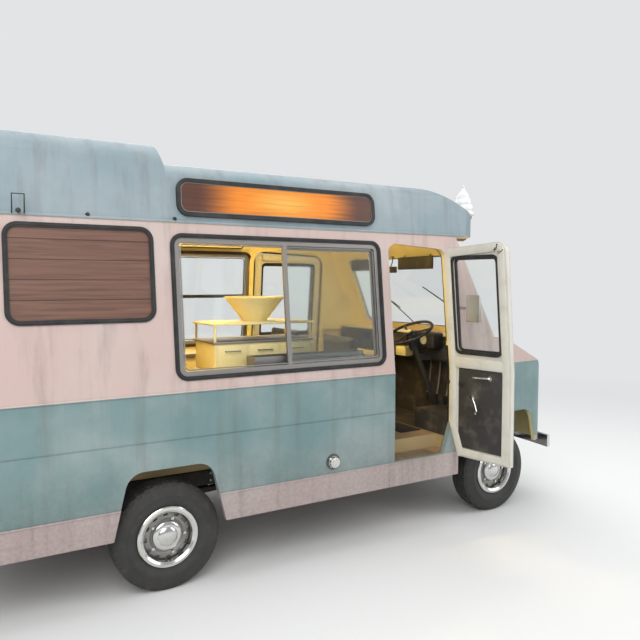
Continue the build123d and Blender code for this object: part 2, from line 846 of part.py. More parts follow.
# Chassis ladder
rail_top = rail_low + rail_height
cross_half = 30
cross_xs = (-1060, -480, 480, post_x - 590, foot_room_x, rail_front - cross_half)
with BuildPart() as chassis:
    for y in (-rail_y, rail_y):
        block((rail_rear, rail_front), (y - rail_width / 2, y + rail_width / 2), (rail_low, rail_top))
    for x in cross_xs:
        block((x - cross_half, x + cross_half), (-rail_y, rail_y), (rail_low + 10, rail_top))
    for x in bearer_xs:
        bearer_range = (rail_top, floor_z - floor_thickness)
        block((x - bearer_width / 2, x + bearer_width / 2), (-bearer_y, bearer_y), bearer_range)
    for x in (-480, 480):
        for low, high in both_sides(rear_well_y - 2, bearer_y + 5):
            reach = bearer_width / 2 + 1
            block((x - reach, x + reach), (low, high), (rail_top - 1, floor_z), Mode.SUBTRACT)
    for low, high in both_sides(step_y - 20, bearer_y + 5):
        block((post_x - 650, right_door_rear), (low, high), (rail_top + 10, floor_z), Mode.SUBTRACT)
    eye_x = rail_front + eye_length / 2
    block((rail_front - 10, rail_front + eye_length), (-35, 35), (eye_low, eye_low + eye_thickness))
    with Locations((eye_x, 0, eye_low + eye_thickness)):
        Hole(eye_radius)
finish(chassis.part, "chassis_frame")

# Floor with its wheel boxes and door steps
floor_half = half_width - wall - fit
with BuildPart() as floor:
    block((rear_x + wall + fit, cab_well_x), (-floor_half, floor_half), (floor_z - floor_thickness, floor_z))
    fillet(floor.edges().filter_by(Axis.Z).group_by(Axis.X)[0], body_corner - wall)
    for low, high in both_sides(rear_well_y, floor_half):
        block((-rear_well_x, rear_well_x), (low, high), (floor_z - floor_thickness, rear_well_z))
    for low, high in both_sides(rear_well_y + well_wall, floor_half + 1):
        inner_x = rear_well_x - well_wall
        block((-inner_x, inner_x), (low, high), (400, rear_well_z - well_wall), Mode.SUBTRACT)
    for side, door_rear in ((-1, right_door_rear), (1, left_door_rear)):
        low, high = sorted((side * step_y, side * floor_half))
        block((door_rear, cab_well_x), (low, high), (step_z - floor_thickness, floor_z))
        low, high = sorted((side * (step_y + 15), side * (floor_half + 1)))
        block((door_rear + 15, cab_well_x - 15), (low, high), (step_z, floor_z + 1), Mode.SUBTRACT)
finish(floor.part, "floor")

# Bulkhead with the foot well and the covers of the front arches
scuttle_under = screen_foot_z - nose_wall - fit
bulkhead_half = half_width - 62
with BuildPart() as bulkhead:
    floor_under = floor_z - floor_thickness
    toe_x = bulkhead_x + bulkhead_wall
    block((cab_well_x + fit, toe_x), (-cab_well_y, cab_well_y), (floor_under, floor_z))
    block((bulkhead_x, toe_x), (-cab_well_y, cab_well_y), (floor_z, scuttle_under))
    block((bulkhead_x, toe_x), (-bulkhead_half, bulkhead_half), (cab_well_z - well_wall, scuttle_under))
    for low, high in both_sides(cab_well_y, bulkhead_half):
        block((cab_well_x + fit, toe_x), (low, high), (cab_well_z - well_wall, cab_well_z))
        block((cab_well_x + fit, cab_well_x + well_wall), (low, high), (floor_under, cab_well_z))
    for low, high in both_sides(cab_well_y, cab_well_y + well_wall):
        block((cab_well_x + fit, toe_x), (low, high), (floor_under, cab_well_z))
finish(bulkhead.part, "bulkhead")

# Engine and radiator between the rails
engine_x = (wheelbase - 12, nose_x - 180)
engine_y = 220
engine_z = (480, 960)
engine_mount = 40
radiator_x = (nose_x - 165, nose_x - 125)
radiator_half = 330
radiator_top = 950
with BuildPart() as engine:
    block(engine_x, (-engine_y, engine_y), engine_z)
    rail_inner = rail_y - rail_width / 2
    mount_x = sum(engine_x) / 2
    mount_range = (mount_x - engine_mount, mount_x + engine_mount)
    block(mount_range, (-rail_inner, rail_inner), (engine_z[0], rail_top - 5))
    block(radiator_x, (-radiator_half, radiator_half), (rail_top, radiator_top))
finish(engine.part, "engine")

# Fuel tank and its filler cap
tank_x = (820, 1330)
tank_y = (100 - half_width, 570 - half_width)
tank_low = 400
tank_corner = 30
tank_strap_x = (960, 1000)
with BuildPart() as tank:
    block(tank_x, tank_y, (tank_low, rail_top))
    fillet(tank.edges().filter_by(Axis.X), tank_corner)
    block(tank_strap_x, tank_y, (rail_top - 2 * tank_corner, rail_top))
finish(tank.part, "fuel_tank")
cap_x = 1103
cap_z = 644
cap_flange = (48, 10)
cap_grip = (34, 22)
with BuildPart() as cap:
    with BuildSketch(Plane.XZ.offset(half_width)):
        with Locations((cap_x, cap_z)):
            Circle(cap_flange[0])
    extrude(amount=cap_flange[1])
    with BuildSketch(Plane.XZ.offset(half_width + cap_flange[1])):
        with Locations((cap_x, cap_z)):
            Circle(cap_grip[0])
    extrude(amount=cap_grip[1])
finish(cap.part, "fuel_cap")

# Exhaust
pipe_radius = 22
silencer_radius = 72
pipe_y = 500
pipe_z = 478
outlet_x = wheelbase + 208
outlet_z = 600
silencer_x = 900
silencer_length = 460
hanger_xs = (-480, 480, post_x - 590)
with BuildPart() as exhaust:
    with BuildLine():
        FilletPolyline(
            (outlet_x, engine_y, outlet_z),
            (outlet_x, pipe_y - 140, outlet_z),
            (wheelbase + 8, pipe_y, outlet_z),
            (wheelbase - 252, pipe_y, pipe_z),
            (-1000, pipe_y, pipe_z),
            (-1090, pipe_y, pipe_z - 50),
            radius=60,
        )
    with BuildSketch(Plane(origin=(outlet_x, engine_y, outlet_z), x_dir=(1, 0, 0), z_dir=(0, 1, 0))):
        Circle(pipe_radius)
    sweep()
    with BuildSketch(Plane.YZ.offset(silencer_x)):
        with Locations((pipe_y + 60, pipe_z - 20)):
            Circle(silencer_radius)
    extrude(amount=silencer_length)
    for x in hanger_xs:
        block((x - 8, x + 8), (pipe_y - 12, pipe_y + 12), (pipe_z, rail_top))
finish(exhaust.part, "exhaust")

# Bumpers on brackets from the rail ends
bumper_front_x = nose_x + 105
bumper_half = half_width - 70
bumper_bow = 75
bumper_depth = 30
bumper_low = 440
bumper_height = 100
with BuildPart() as front_bumper:
    with BuildSketch(Plane.XY.offset(bumper_low)):
        with BuildLine():
            end_x = bumper_front_x - bumper_bow
            back_x = end_x - bumper_depth
            ThreePointArc((end_x, -bumper_half), (bumper_front_x, 0), (end_x, bumper_half))
            Line((end_x, bumper_half), (back_x, bumper_half))
            ThreePointArc((back_x, bumper_half), (bumper_front_x - bumper_depth, 0), (back_x, -bumper_half))
            Line((back_x, -bumper_half), (end_x, -bumper_half))
        make_face()
    extrude(amount=bumper_height)
    for y in (-bumper_bracket_y, bumper_bracket_y):
        bracket_range = (y - bracket_width / 2, y + bracket_width / 2)
        block((rail_front, bumper_front_x - 40), bracket_range, (bracket_low, bracket_high))
with BuildPart() as bumpers:
    rear_face = rear_x - 60
    rear_half = bumper_half - 20
    rear_range = (bumper_low - 10, bumper_low + bumper_height - 10)
    block((rear_face - bumper_depth, rear_face), (-rear_half, rear_half), rear_range)
    fillet(bumpers.edges().filter_by(Axis.Y), 8)
    for y in (-bumper_bracket_y, bumper_bracket_y):
        bracket_range = (y - bracket_width / 2, y + bracket_width / 2)
        block((rear_face - 5, rail_rear), bracket_range, (bracket_low, bracket_high))
    add(front_bumper.part)
finish(bumpers.part, "bumpers")

# Tail lamps, round, one above the other, and the front indicators
tail_lamp_y = half_width - 150
tail_lamp_zs = (680, 790)
tail_lamp_radius = 45
tail_lamp_depth = 30
with BuildPart() as tail_lamps:
    for y in (-tail_lamp_y, tail_lamp_y):
        for z in tail_lamp_zs:
            with BuildSketch(Plane.YZ.offset(rear_x)):
                with Locations((y, z)):
                    Circle(tail_lamp_radius)
            extrude(amount=-tail_lamp_depth, taper=8)
finish(tail_lamps.part, "tail_lamps")
with BuildPart() as indicators:
    for y in (-headlamp_y, headlamp_y):
        with BuildSketch(Plane.YZ.offset(nose_x - 2 * indicator_radius)):
            with Locations((y, indicator_z)):
                Circle(indicator_radius)
        extrude(amount=2 * indicator_radius)
    add(nose_form(0, post_x, skirt_z - 40), mode=Mode.SUBTRACT)
    for y in (-headlamp_y, headlamp_y):
        with BuildSketch(Plane.YZ.offset(nose_x)):
            with Locations((y, indicator_z)):
                Circle(indicator_radius)
        extrude(amount=12)
finish(indicators.part, "front_indicators")

# Axles on leaf springs, with brake drums at the rear and kingpin bosses at the front
wheel_face_y = track_half - wheel_face_inset
drum_face_y = wheel_face_y - running_gap
with BuildPart() as rear_axle:
    with BuildSketch(Plane(origin=(0, 0, tyre_radius), x_dir=(0, 1, 0), z_dir=(1, 0, 0))):
        with BuildLine():
            Polyline(
                (0, differential_radius),
                (70, differential_radius - 20),
                (120, axle_radius),
                (drum_face_y - 45, axle_radius),
                (drum_face_y - 40, drum_radius),
                (drum_face_y, drum_radius),
                (drum_face_y, 0),
                (0, 0),
                close=True,
            )
        make_face()
    revolve(axis=Axis((0, 0, tyre_radius), (0, 1, 0)))
    mirror(about=Plane.XZ)
finish(rear_axle.part, "rear_axle")

beam_half_height = 30
with BuildPart() as front_axle:
    beam_range = (tyre_radius - beam_half_height, tyre_radius + beam_half_height)
    block((wheelbase - 30, wheelbase + 30), (-kingpin_y, kingpin_y), beam_range)
    for y in (-kingpin_y, kingpin_y):
        with BuildSketch(Plane.XY.offset(tyre_radius - boss_half_height)):
            with Locations((wheelbase, y)):
                Circle(kingpin_radius)
        extrude(amount=2 * boss_half_height)
finish(front_axle.part, "front_axle")

spring_tops = ((0, tyre_radius + axle_radius), (wheelbase, tyre_radius + beam_half_height))
spring_end_z = rail_low - 45
hanger_half = 20
with BuildPart() as springs:
    for middle_x, seat_z in spring_tops:
        rear_end = middle_x - spring_half
        front_end = middle_x + spring_half
        low_z = spring_end_z
        high_z = spring_end_z + spring_leaf
        seat = seat_z + fit
        for y in (-rail_y, rail_y):
            with BuildSketch(Plane.XZ.offset(-y - spring_width / 2)):
                with BuildLine():
                    ThreePointArc((rear_end, low_z), (middle_x, seat), (front_end, low_z))
                    Line((front_end, low_z), (front_end, high_z))
                    ThreePointArc((front_end, high_z), (middle_x, seat + spring_leaf), (rear_end, high_z))
                    Line((rear_end, high_z), (rear_end, low_z))
                make_face()
            extrude(amount=spring_width)
            hanger_y = (y - spring_width / 2, y + spring_width / 2)
            for x in (rear_end, front_end - 2 * hanger_half):
                block((x, x + 2 * hanger_half), hanger_y, (low_z + 10, rail_low - fit))
finish(springs.part, "leaf_springs")

# Steering knuckles: a fork round the kingpin boss and the brake backplate
plate_y = kingpin_y + kingpin_radius + 6
fork_web = 14
backplate_y = plate_y + 12
for side in ("right", "left"):
    with BuildPart() as knuckle:
        low_z = tyre_radius - boss_half_height - running_gap - lug_thickness
        high_z = tyre_radius + boss_half_height + running_gap
        for z in (low_z, high_z):
            with BuildSketch(Plane.XY.offset(z)):
                with Locations((wheelbase, kingpin_y)):
                    Circle(kingpin_radius)
                with Locations((wheelbase, (kingpin_y + backplate_y) / 2)):
                    Rectangle(2 * kingpin_radius, backplate_y - kingpin_y)
            extrude(amount=lug_thickness)
        fork_width = (wheelbase - kingpin_radius, wheelbase + kingpin_radius)
        block(fork_width, (plate_y, plate_y + fork_web), (low_z, high_z + lug_thickness))
        with BuildSketch(Plane.XZ.offset(-backplate_y)):
            with Locations((wheelbase, tyre_radius)):
                Circle(drum_radius)
        extrude(amount=backplate_y - drum_face_y)
    finish(knuckle.part if side == "left" else knuckle.part.mirror(Plane.XZ), f"knuckle_{side}")

# Wheels: a tyre and a dished rim with its chrome cap, the same at each corner
bead_y = 68
bulge_height = 62
tread_edge = 26
shoulder_inset = 8
shoulder_drop = 32
flange_rise = 9
well_drop = 12
rim_disc_y = 46
rim_cap_radius = 62
with BuildPart() as tyre:
    with BuildSketch(Plane.XY):
        with BuildLine():
            half = tyre_width / 2
            Polyline(
                (-bead_y, rim_radius),
                (bead_y, rim_radius),
                (half, rim_radius + bulge_height),
                (half - shoulder_inset, tyre_radius - shoulder_drop),
                (half - tread_edge, tyre_radius),
                (tread_edge - half, tyre_radius),
                (shoulder_inset - half, tyre_radius - shoulder_drop),
                (-half, rim_radius + bulge_height),
                close=True,
            )
        make_face()
    revolve(axis=Axis.X)
with BuildPart() as rim:
    with BuildSketch(Plane.XY):
        with BuildLine():
            flange = bead_y + 8
            Polyline(
                (-bead_y + fit, rim_radius - fit),
                (bead_y - fit, rim_radius - fit),
                (flange, rim_radius + flange_rise),
                (flange + 3, rim_radius - 2),
                (34, rim_radius - well_drop),
                (rim_disc_y, 122),
                (rim_disc_y - 4, 92),
                (64, rim_cap_radius),
                (72, 0),
                (-wheel_face_inset, 0),
                (-wheel_face_inset, 70),
                (32, 118),
                (22, rim_radius - well_drop),
                (-flange - 3, rim_radius - 2),
                (-flange, rim_radius + flange_rise),
                close=True,
            )
        make_face()
    revolve(axis=Axis.X)
corners = (("front", wheelbase), ("rear", 0))
for end, x in corners:
    for side, sign_y in (("right", -1), ("left", 1)):
        place = Location((x, sign_y * track_half, tyre_radius), (0, 0, 90 * sign_y))
        finish(tyre.part.moved(place), f"tyre_{end}_{side}")
        finish(rim.part.moved(place), f"rim_{end}_{side}")

# Dashboard with the steering column, and the steering wheel
dash_rear_x = screen_foot_x - 360
column_radius = 22
hub_radius = 36
hub_depth = 34
column_length = 815
dash_low = 1180
dash_corner = 35
tilt = radians(steering_tilt)
column_dir = (sin(tilt), 0, -cos(tilt))
column_start = Vector(*steering_wheel_at) + Vector(*column_dir) * (hub_depth / 2 + running_gap)
with BuildPart() as dashboard:
    block((dash_rear_x, foot_room_x - fit), (80 - half_width, half_width - 80), (dash_low, screen_foot_z))
    fillet(dashboard.edges().filter_by(Axis.Y).group_by(Axis.X)[0], dash_corner)
    column_y = steering_wheel_at[1]
    block((dash_rear_x - 130, dash_rear_x + 60), (column_y - 30, column_y + 30), (1195, 1245))
    with BuildSketch(Plane(origin=column_start, x_dir=(0, 1, 0), z_dir=column_dir)):
        Circle(column_radius)
    extrude(amount=column_length)
finish(dashboard.part, "dashboard")
wheel_plane = Plane(origin=steering_wheel_at, x_dir=(0, 1, 0), z_dir=(-sin(tilt), 0, cos(tilt)))
with BuildPart() as steering_wheel:
    with BuildSketch(wheel_plane):
        Circle(hub_radius)
    extrude(amount=hub_depth / 2, both=True)
    with BuildSketch(wheel_plane):
        with PolarLocations(0, 3, start_angle=90):
            with Locations((steering_wheel_radius / 2, 0)):
                Rectangle(steering_wheel_radius, spoke_width)
    extrude(amount=spoke_thickness / 2, both=True)
    with BuildSketch(Plane(origin=steering_wheel_at, x_dir=wheel_plane.z_dir, z_dir=(0, 1, 0))):
        with Locations((0, steering_wheel_radius)):
            RegularPolygon(grip_radius, 6)
    revolve(axis=Axis(steering_wheel_at, wheel_plane.z_dir))
finish(steering_wheel.part, "steering_wheel")

# Counters along both walls of the load space and the aluminium tray at the serving window
counter_top = 1262
store_top = 1240
counter_board = 25
counter_rear = 34
cupboard_rear = 430
counter_wall_y = floor_half - 8
counter_front = post_x - 760
tray_x = (560, counter_front - 5)
tray_y = (65 - half_width, 185 - half_width)
tray_top = 1370
tray_wall = 6
hatch_edge_y = 430 - half_width
store_edge_y = half_width - 470
with BuildPart() as counters:
    block((cupboard_rear, counter_front), (-counter_wall_y, hatch_edge_y), (floor_z, counter_top))
    board_range = (counter_top - counter_board, counter_top)
    block((counter_rear, counter_front), (-counter_wall_y, hatch_edge_y), board_range)
    panel_x = (counter_rear, counter_rear + counter_board)
    block(panel_x, (-counter_wall_y, hatch_edge_y), (rear_well_z, counter_top))
    block((cupboard_rear, counter_front), (store_edge_y, counter_wall_y), (floor_z, store_top))
finish(counters.part, "counters")
with BuildPart() as tray:
    block(tray_x, tray_y, (counter_top, tray_top))
    inner_x, inner_y = ((low + tray_wall, high - tray_wall) for low, high in (tray_x, tray_y))
    block(inner_x, inner_y, (counter_top + tray_wall, tray_top + 1), Mode.SUBTRACT)
finish(tray.part, "serving_tray")

# Seats
seat_rear_x = post_x - 700
seat_front_x = post_x - 250
seat_inner_y = 230
seat_outer_y = half_width - 340
seat_base_top = 880
seat_back_top = 1300
cushion_top = 990
backrest_low = 895
backrest_top = 1440
cushion_corner = 25
with BuildPart() as seat_bases:
    for low, high in both_sides(seat_inner_y, seat_outer_y):
        block((seat_rear_x + 20, seat_front_x - 20), (low + 20, high - 20), (floor_z, seat_base_top))
        block((seat_rear_x, seat_rear_x + 20), (low + 40, high - 40), (seat_base_top, seat_back_top))
        block((seat_rear_x, seat_rear_x + 60), (low + 40, high - 40), (seat_base_top - 20, seat_base_top))
finish(seat_bases.part, "seat_frames")
with BuildPart() as cushions:
    for low, high in both_sides(seat_inner_y, seat_outer_y):
        block((seat_rear_x + 105, seat_front_x), (low, high), (seat_base_top + fit, cushion_top))
        block((seat_rear_x + 20 + fit, seat_rear_x + 100), (low, high), (backrest_low, backrest_top))
    fillet(cushions.edges().filter_by(Axis.Y), cushion_corner)
finish(cushions.part, "seat_cushions")

# Door mirrors on arms from the screen pillars
mirror_x = post_x + 112
mirror_arm_z = 1640
mirror_arm = 20
mirror_height = 200
with BuildPart() as mirrors:
    for low, high in both_sides(wall_y(mirror_arm_z) + fit, half_width + 120):
        block((mirror_x, mirror_x + mirror_arm), (low, high), (mirror_arm_z, mirror_arm_z + mirror_arm))
    head_low = mirror_arm_z + (mirror_arm - mirror_height) / 2
    for low, high in both_sides(half_width + 50, half_width + 180):
        block((mirror_x - mirror_arm - 2, mirror_x), (low, high), (head_low, head_low + mirror_height))
finish(mirrors.part, "mirrors")

# Ice-cream cones standing before the brow's corners
wafer_height = 190
wafer_foot = 32
wafer_rim = 72
cone_bracket = (120, 20, 12)
swirl_turns = [
    (radius, wafer_height + rise)
    for radius, rise in (
        (92, 12),
        (98, 36),
        (84, 66),
        (88, 80),
        (70, 110),
        (72, 122),
        (52, 150),
        (50, 162),
        (24, 190),
    )
]
with BuildPart() as cones:
    for y in (-cone_y, cone_y):
        with BuildSketch(Plane(origin=(cone_x, y, cone_foot_z), x_dir=(1, 0, 0), z_dir=(0, -1, 0))):
            with BuildLine():
                wafer_line = ((0, 0), (wafer_foot, 0), (wafer_rim, wafer_height))
                Polyline(*wafer_line, *swirl_turns, (0, cone_height), close=True)
            make_face()
        revolve(axis=Axis((cone_x, y, 0), (0, 0, 1)))
        length, reach, depth = cone_bracket
        block((cone_x - length, cone_x), (y - reach, y + reach), (cone_foot_z - depth, cant_z - fit))
    add(roof_form(-fit), mode=Mode.SUBTRACT)
finish(cones.part, "cones")

# The van is stored with the middle of its footprint, the open door included, at the origin
box = Compound(pieces).bounding_box()
to_origin = Location((-(box.min.X + box.max.X) / 2, -(box.min.Y + box.max.Y) / 2, 0))
for piece in pieces:
    label = piece.label
    placed = piece.moved(to_origin)
    placed.label = label
    export_step(placed, f"parts/{label}.step")
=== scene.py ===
"""Looks of a coach-built ice-cream van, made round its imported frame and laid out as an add-on."""

from math import atan2, cos, pi, radians, sin, tan

import bmesh
import bpy
from mathutils import Matrix, Vector
from mathutils.bvhtree import BVHTree


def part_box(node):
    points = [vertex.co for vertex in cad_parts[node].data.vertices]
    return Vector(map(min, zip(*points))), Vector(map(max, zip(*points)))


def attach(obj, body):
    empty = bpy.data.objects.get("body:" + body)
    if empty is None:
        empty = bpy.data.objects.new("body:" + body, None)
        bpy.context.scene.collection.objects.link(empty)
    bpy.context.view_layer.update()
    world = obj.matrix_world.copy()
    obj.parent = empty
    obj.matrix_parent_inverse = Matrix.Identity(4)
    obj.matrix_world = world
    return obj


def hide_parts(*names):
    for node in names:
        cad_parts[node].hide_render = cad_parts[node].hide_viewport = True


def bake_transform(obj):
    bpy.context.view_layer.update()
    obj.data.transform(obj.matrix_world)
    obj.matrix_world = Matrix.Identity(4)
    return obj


bl_info = {
    "name": "Ice-cream van",
    "version": (1, 0, 0),
    "blender": (4, 5, 0),
    "location": "View3D > Sidebar > Van",
    "description": "Dresses the packed ice-cream van with its finishes, trim, wheels and interior",
    "category": "Object",
}

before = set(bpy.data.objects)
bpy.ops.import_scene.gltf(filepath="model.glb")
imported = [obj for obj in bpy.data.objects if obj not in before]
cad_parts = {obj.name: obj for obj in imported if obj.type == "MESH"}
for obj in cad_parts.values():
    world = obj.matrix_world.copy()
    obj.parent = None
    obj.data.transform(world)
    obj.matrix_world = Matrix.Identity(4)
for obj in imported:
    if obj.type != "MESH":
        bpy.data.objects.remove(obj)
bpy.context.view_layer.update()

# The van's own places: X runs forward from the rear axle, Y to the left from the
# centre plane and Z up from the ground, all in metres. They are read from its nodes.


def span(node, axis):
    """Lowest and highest place of a node along an axis, in the stored frame."""
    low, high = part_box(node)
    return low[axis], high[axis]


def middle(node, axis):
    """Middle of a node along an axis, in the stored frame."""
    low, high = span(node, axis)
    return (low + high) / 2


AXLE_X = middle("tyre_rear_right", 0)
MID_Y = middle("roof", 1)
ORIGIN = Vector((AXLE_X, MID_Y, 0))
WHEELBASE = middle("tyre_front_right", 0) - AXLE_X
TYRE_RADIUS = middle("tyre_rear_right", 2)
TRACK_HALF = MID_Y - middle("tyre_rear_right", 1)
TYRE_WIDTH = span("tyre_rear_right", 1)[1] - span("tyre_rear_right", 1)[0]
HALF_WIDTH = MID_Y - span("side_right_lower", 1)[0]
REAR_X = span("rear_wall", 0)[0] - AXLE_X
SKIRT_Z, BELT_Z = span("side_right_lower", 2)
CANT_Z = span("side_right_upper", 2)[1]
SILL_Z = span("skirts", 2)[0]
POST_X = span("side_right_upper", 0)[1] - AXLE_X
NOSE_X = span("nose", 0)[1] - AXLE_X
WALL = 0.04
LEAN = radians(6.1)
TRIM_GAP = 0.0003
DOOR_SKIN = 0.006
RIGHT_DOOR_REAR = POST_X - 0.53
LEFT_DOOR_REAR = POST_X - 0.72
HINGE = Vector((POST_X + 0.003, -HALF_WIDTH - 0.014, 0))
DOOR_OPEN = radians(100)
CENTRE = Vector((AXLE_X + 1.1, MID_Y, 1.7))
CONE = Vector((span("cones", 0)[1] - AXLE_X - 0.098, 0.625, span("cones", 2)[0] + 0.012))
BOARD_HEIGHT = 0.109
SIGN_HALF_HEIGHT = 0.09
WAFFLE_TURN = 9 / pi
WAFFLE_RISE = 26
BACKDROP = (226, 228, 230)
FADE = (3.0, 10.0)


def tone(red, green, blue):
    """A colour from its 0 to 255 values, as the shaders need it."""
    parts = [value / 255 for value in (red, green, blue)]
    return tuple(p / 12.92 if p <= 0.04045 else ((p + 0.055) / 1.055) ** 2.4 for p in parts)


def colour_property(name, description, value):
    """A colour that a user may change."""
    return bpy.props.FloatVectorProperty(
        name=name, description=description, subtype="COLOR", size=3, min=0, max=1, default=value
    )


def length_property(name, description, value):
    """A length that a user may change."""
    return bpy.props.FloatProperty(name=name, description=description, unit="LENGTH", min=0, default=value)


class VanColours(bpy.types.PropertyGroup):
    """Colours of the van's finishes."""

    roof: colour_property("Roof", "Duck-egg paint of the roof", tone(124, 143, 150))
    pink: colour_property("Middle band", "Dusty pink paint between belt and roof", tone(192, 168, 161))
    teal: colour_property("Lower panels", "Duck-egg paint below the belt", tone(100, 130, 131))
    skirt: colour_property("Skirt", "Pink paint of the skirt", tone(176, 158, 156))
    cream: colour_property("Cream", "Cream paint of the linings and jambs", tone(228, 212, 152))
    door_lining: colour_property("Door lining", "Off-white moulded lining of the doors", tone(204, 201, 190))
    wood: colour_property("Boards", "Brown laminate of the boards and the sign's ends", tone(108, 76, 62))
    glow: colour_property("Sign glow", "Lit middle of the sign", tone(255, 146, 16))
    dirt: colour_property("Dirt", "Dried mud and road film", tone(96, 84, 70))
    wafer: colour_property("Wafer", "Painted wafer of the cones", tone(178, 128, 84))
    swirl: colour_property("Swirl", "Painted swirl of the cones", tone(226, 226, 224))


class VanSizes(bpy.types.PropertyGroup):
    """Sizes of the van's trim."""

    bead: length_property("Filler bead", "Width of the filler bead in the window seals", 0.009)
    gutter: length_property("Gutter", "Height of the gutter along the cant rail", 0.016)
    moulding: length_property("Moulding", "Height of the mouldings at belt and skirt", 0.014)
    tread: length_property("Tread", "Depth of the tyres' grooves", 0.007)
    door_band: length_property("Door lining", "Width of the moulded band round a door", 0.058)
    screw: length_property("Screw", "Radius of a trim screw's head", 0.0045)


# Shader maths


class Signal:
    """A socket of a material, with the arithmetic that is used on it."""

    def __init__(self, recipe, socket):
        self.recipe = recipe
        self.socket = socket

    def maths(self, operation, *values):
        """A Math node on this signal and other values."""
        return self.recipe.node("ShaderNodeMath", {"operation": operation}, dict(enumerate(values)))

    def __add__(self, other):
        return self.maths("ADD", self, other)

    def __sub__(self, other):
        return self.maths("SUBTRACT", self, other)

    def __rsub__(self, other):
        return self.maths("SUBTRACT", other, self)

    def __mul__(self, other):
        return self.maths("MULTIPLY", self, other)

    def __truediv__(self, other):
        return self.maths("DIVIDE", self, other)

    __radd__ = __add__
    __rmul__ = __mul__

    def above(self, limit):
        """One where the signal is above a limit, else nought."""
        return self.maths("GREATER_THAN", self, limit)

    def below(self, limit):
        """One where the signal is below a limit, else nought."""
        return self.maths("LESS_THAN", self, limit)

    def size(self):
        """The signal without its sign."""
        return self.maths("ABSOLUTE", self)

    def most(self, other):
        """The larger of two signals."""
        return self.maths("MAXIMUM", self, other)

    def least(self, other):
        """The smaller of two signals."""
        return self.maths("MINIMUM", self, other)

    def fraction(self):
        """What is left of the signal past a whole number."""
        return self.maths("FRACT", self)

    def spread(self, low, high, start=0.0, end=1.0):
        """The signal's range from low to high spread smoothly over start to end, and clamped."""
        kind = {"interpolation_type": "SMOOTHSTEP"}
        return self.recipe.node("ShaderNodeMapRange", kind, {0: self, 1: low, 2: high, 3: start, 4: end})


class Recipe:
    """A material under construction."""

    def __init__(self, name):
        self.material = bpy.data.materials.new(name)
        self.material.use_nodes = True
        self.tree = self.material.node_tree
        self.shader = self.tree.nodes["Principled BSDF"]
        self.coords = self.raw("ShaderNodeTexCoord").outputs["Object"]

    def raw(self, kind, settings=None, values=None):
        """A node of a kind, with its settings made first and then its sockets' values or links."""
        node = self.tree.nodes.new(kind)
        for key, value in (settings or {}).items():
            setattr(node, key, value)
        for key, value in (values or {}).items():
            if isinstance(value, Signal):
                self.tree.links.new(value.socket, node.inputs[key])
            else:
                node.inputs[key].default_value = value
        return node

    def node(self, kind, settings=None, values=None, output=0):
        """The signal that a new node gives."""
        return Signal(self, self.raw(kind, settings, values).outputs[output])

    def here(self, scale=(1, 1, 1), turn=(0, 0, 0)):
        """Object coordinates, scaled and turned for a pattern."""
        values = {0: Signal(self, self.coords), 2: turn, 3: scale}
        return self.node("ShaderNodeMapping", None, values)

    def axes(self):
        """The three object coordinates apart, counted from the rear axle and the centre plane."""
        parts = self.raw("ShaderNodeSeparateXYZ", None, {0: Signal(self, self.coords)})
        x, y, z = (Signal(self, parts.outputs[index]) for index in range(3))
        return x - AXLE_X, y - MID_Y, z

    def noise(self, scale, detail=3, rough=0.5, vector=None, warp=0.0):
        """Noise from nought to one at a scale per metre."""
        values = {"Vector": vector or self.here(), "Scale": scale, "Detail": detail, "Roughness": rough}
        return self.node("ShaderNodeTexNoise", None, {**values, "Distortion": warp})

    def cells(self, scale):
        """Distances in a Voronoi pattern at a scale per metre."""
        return self.node("ShaderNodeTexVoronoi", None, {"Vector": self.here(), "Scale": scale})

    def vectors(self, operation, first, second, output=0):
        """A Vector Math node on two vectors."""
        return self.node("ShaderNodeVectorMath", {"operation": operation}, {0: first, 1: second}, output)

    def normal(self):
        """The direction that the surface faces."""
        return Signal(self, self.raw("ShaderNodeNewGeometry").outputs["Normal"])

    def mix(self, factor, first, second, blend="MIX"):
        """Two colours mixed by a factor."""
        colours = [(*c, 1) if not isinstance(c, Signal) and len(c) == 3 else c for c in (first, second)]
        values = {0: factor, 6: colours[0], 7: colours[1]}
        return self.node("ShaderNodeMix", {"data_type": "RGBA", "blend_type": blend}, values, 2)

    def outside(self):
        """One on faces of the shell that look outwards or up, nought on those that look in."""
        normal = self.normal()
        away = self.vectors("SUBTRACT", Signal(self, self.coords), CENTRE)
        facing = self.vectors("DOT_PRODUCT", self.vectors("MULTIPLY", away, (0.35, 1, 0.8)), normal, 1)
        upward = self.vectors("DOT_PRODUCT", normal, (0, 0, 1), 1)
        return facing.above(0.02).most(upward.above(0.12))

    def bump(self, height, depth, strength=1.0):
        """Relief of a depth in metres on the shader's normal."""
        values = {"Height": height, "Distance": depth, "Strength": strength}
        self.link("Normal", self.node("ShaderNodeBump", None, values))

    def link(self, socket, signal):
        """Feeds a socket of the shader."""
        self.tree.links.new(signal.socket, self.shader.inputs[socket])

    def done(self, colour, rough, **constants):
        """Sets the shader's sockets and gives the material."""
        for socket, value in (("Base Color", colour), ("Roughness", rough)):
            if isinstance(value, Signal):
                self.link(socket, value)
            else:
                self.shader.inputs[socket].default_value = (*value, 1) if socket == "Base Color" else value
        for socket, value in constants.items():
            self.shader.inputs[socket.replace("_", " ")].default_value = value
        return self.material


def wall_depth(recipe, turned=False):
    """How far a point lies inside the outer face of a side wall; turned reads the open door's own place."""
    x, y, z = recipe.axes()
    across = y.size()
    if turned:
        across = (x - HINGE.x) * sin(DOOR_OPEN) - (y - HINGE.y) * cos(DOOR_OPEN) - HINGE.y
    return HALF_WIDTH - (z - BELT_Z).most(0) * tan(LEAN) - across


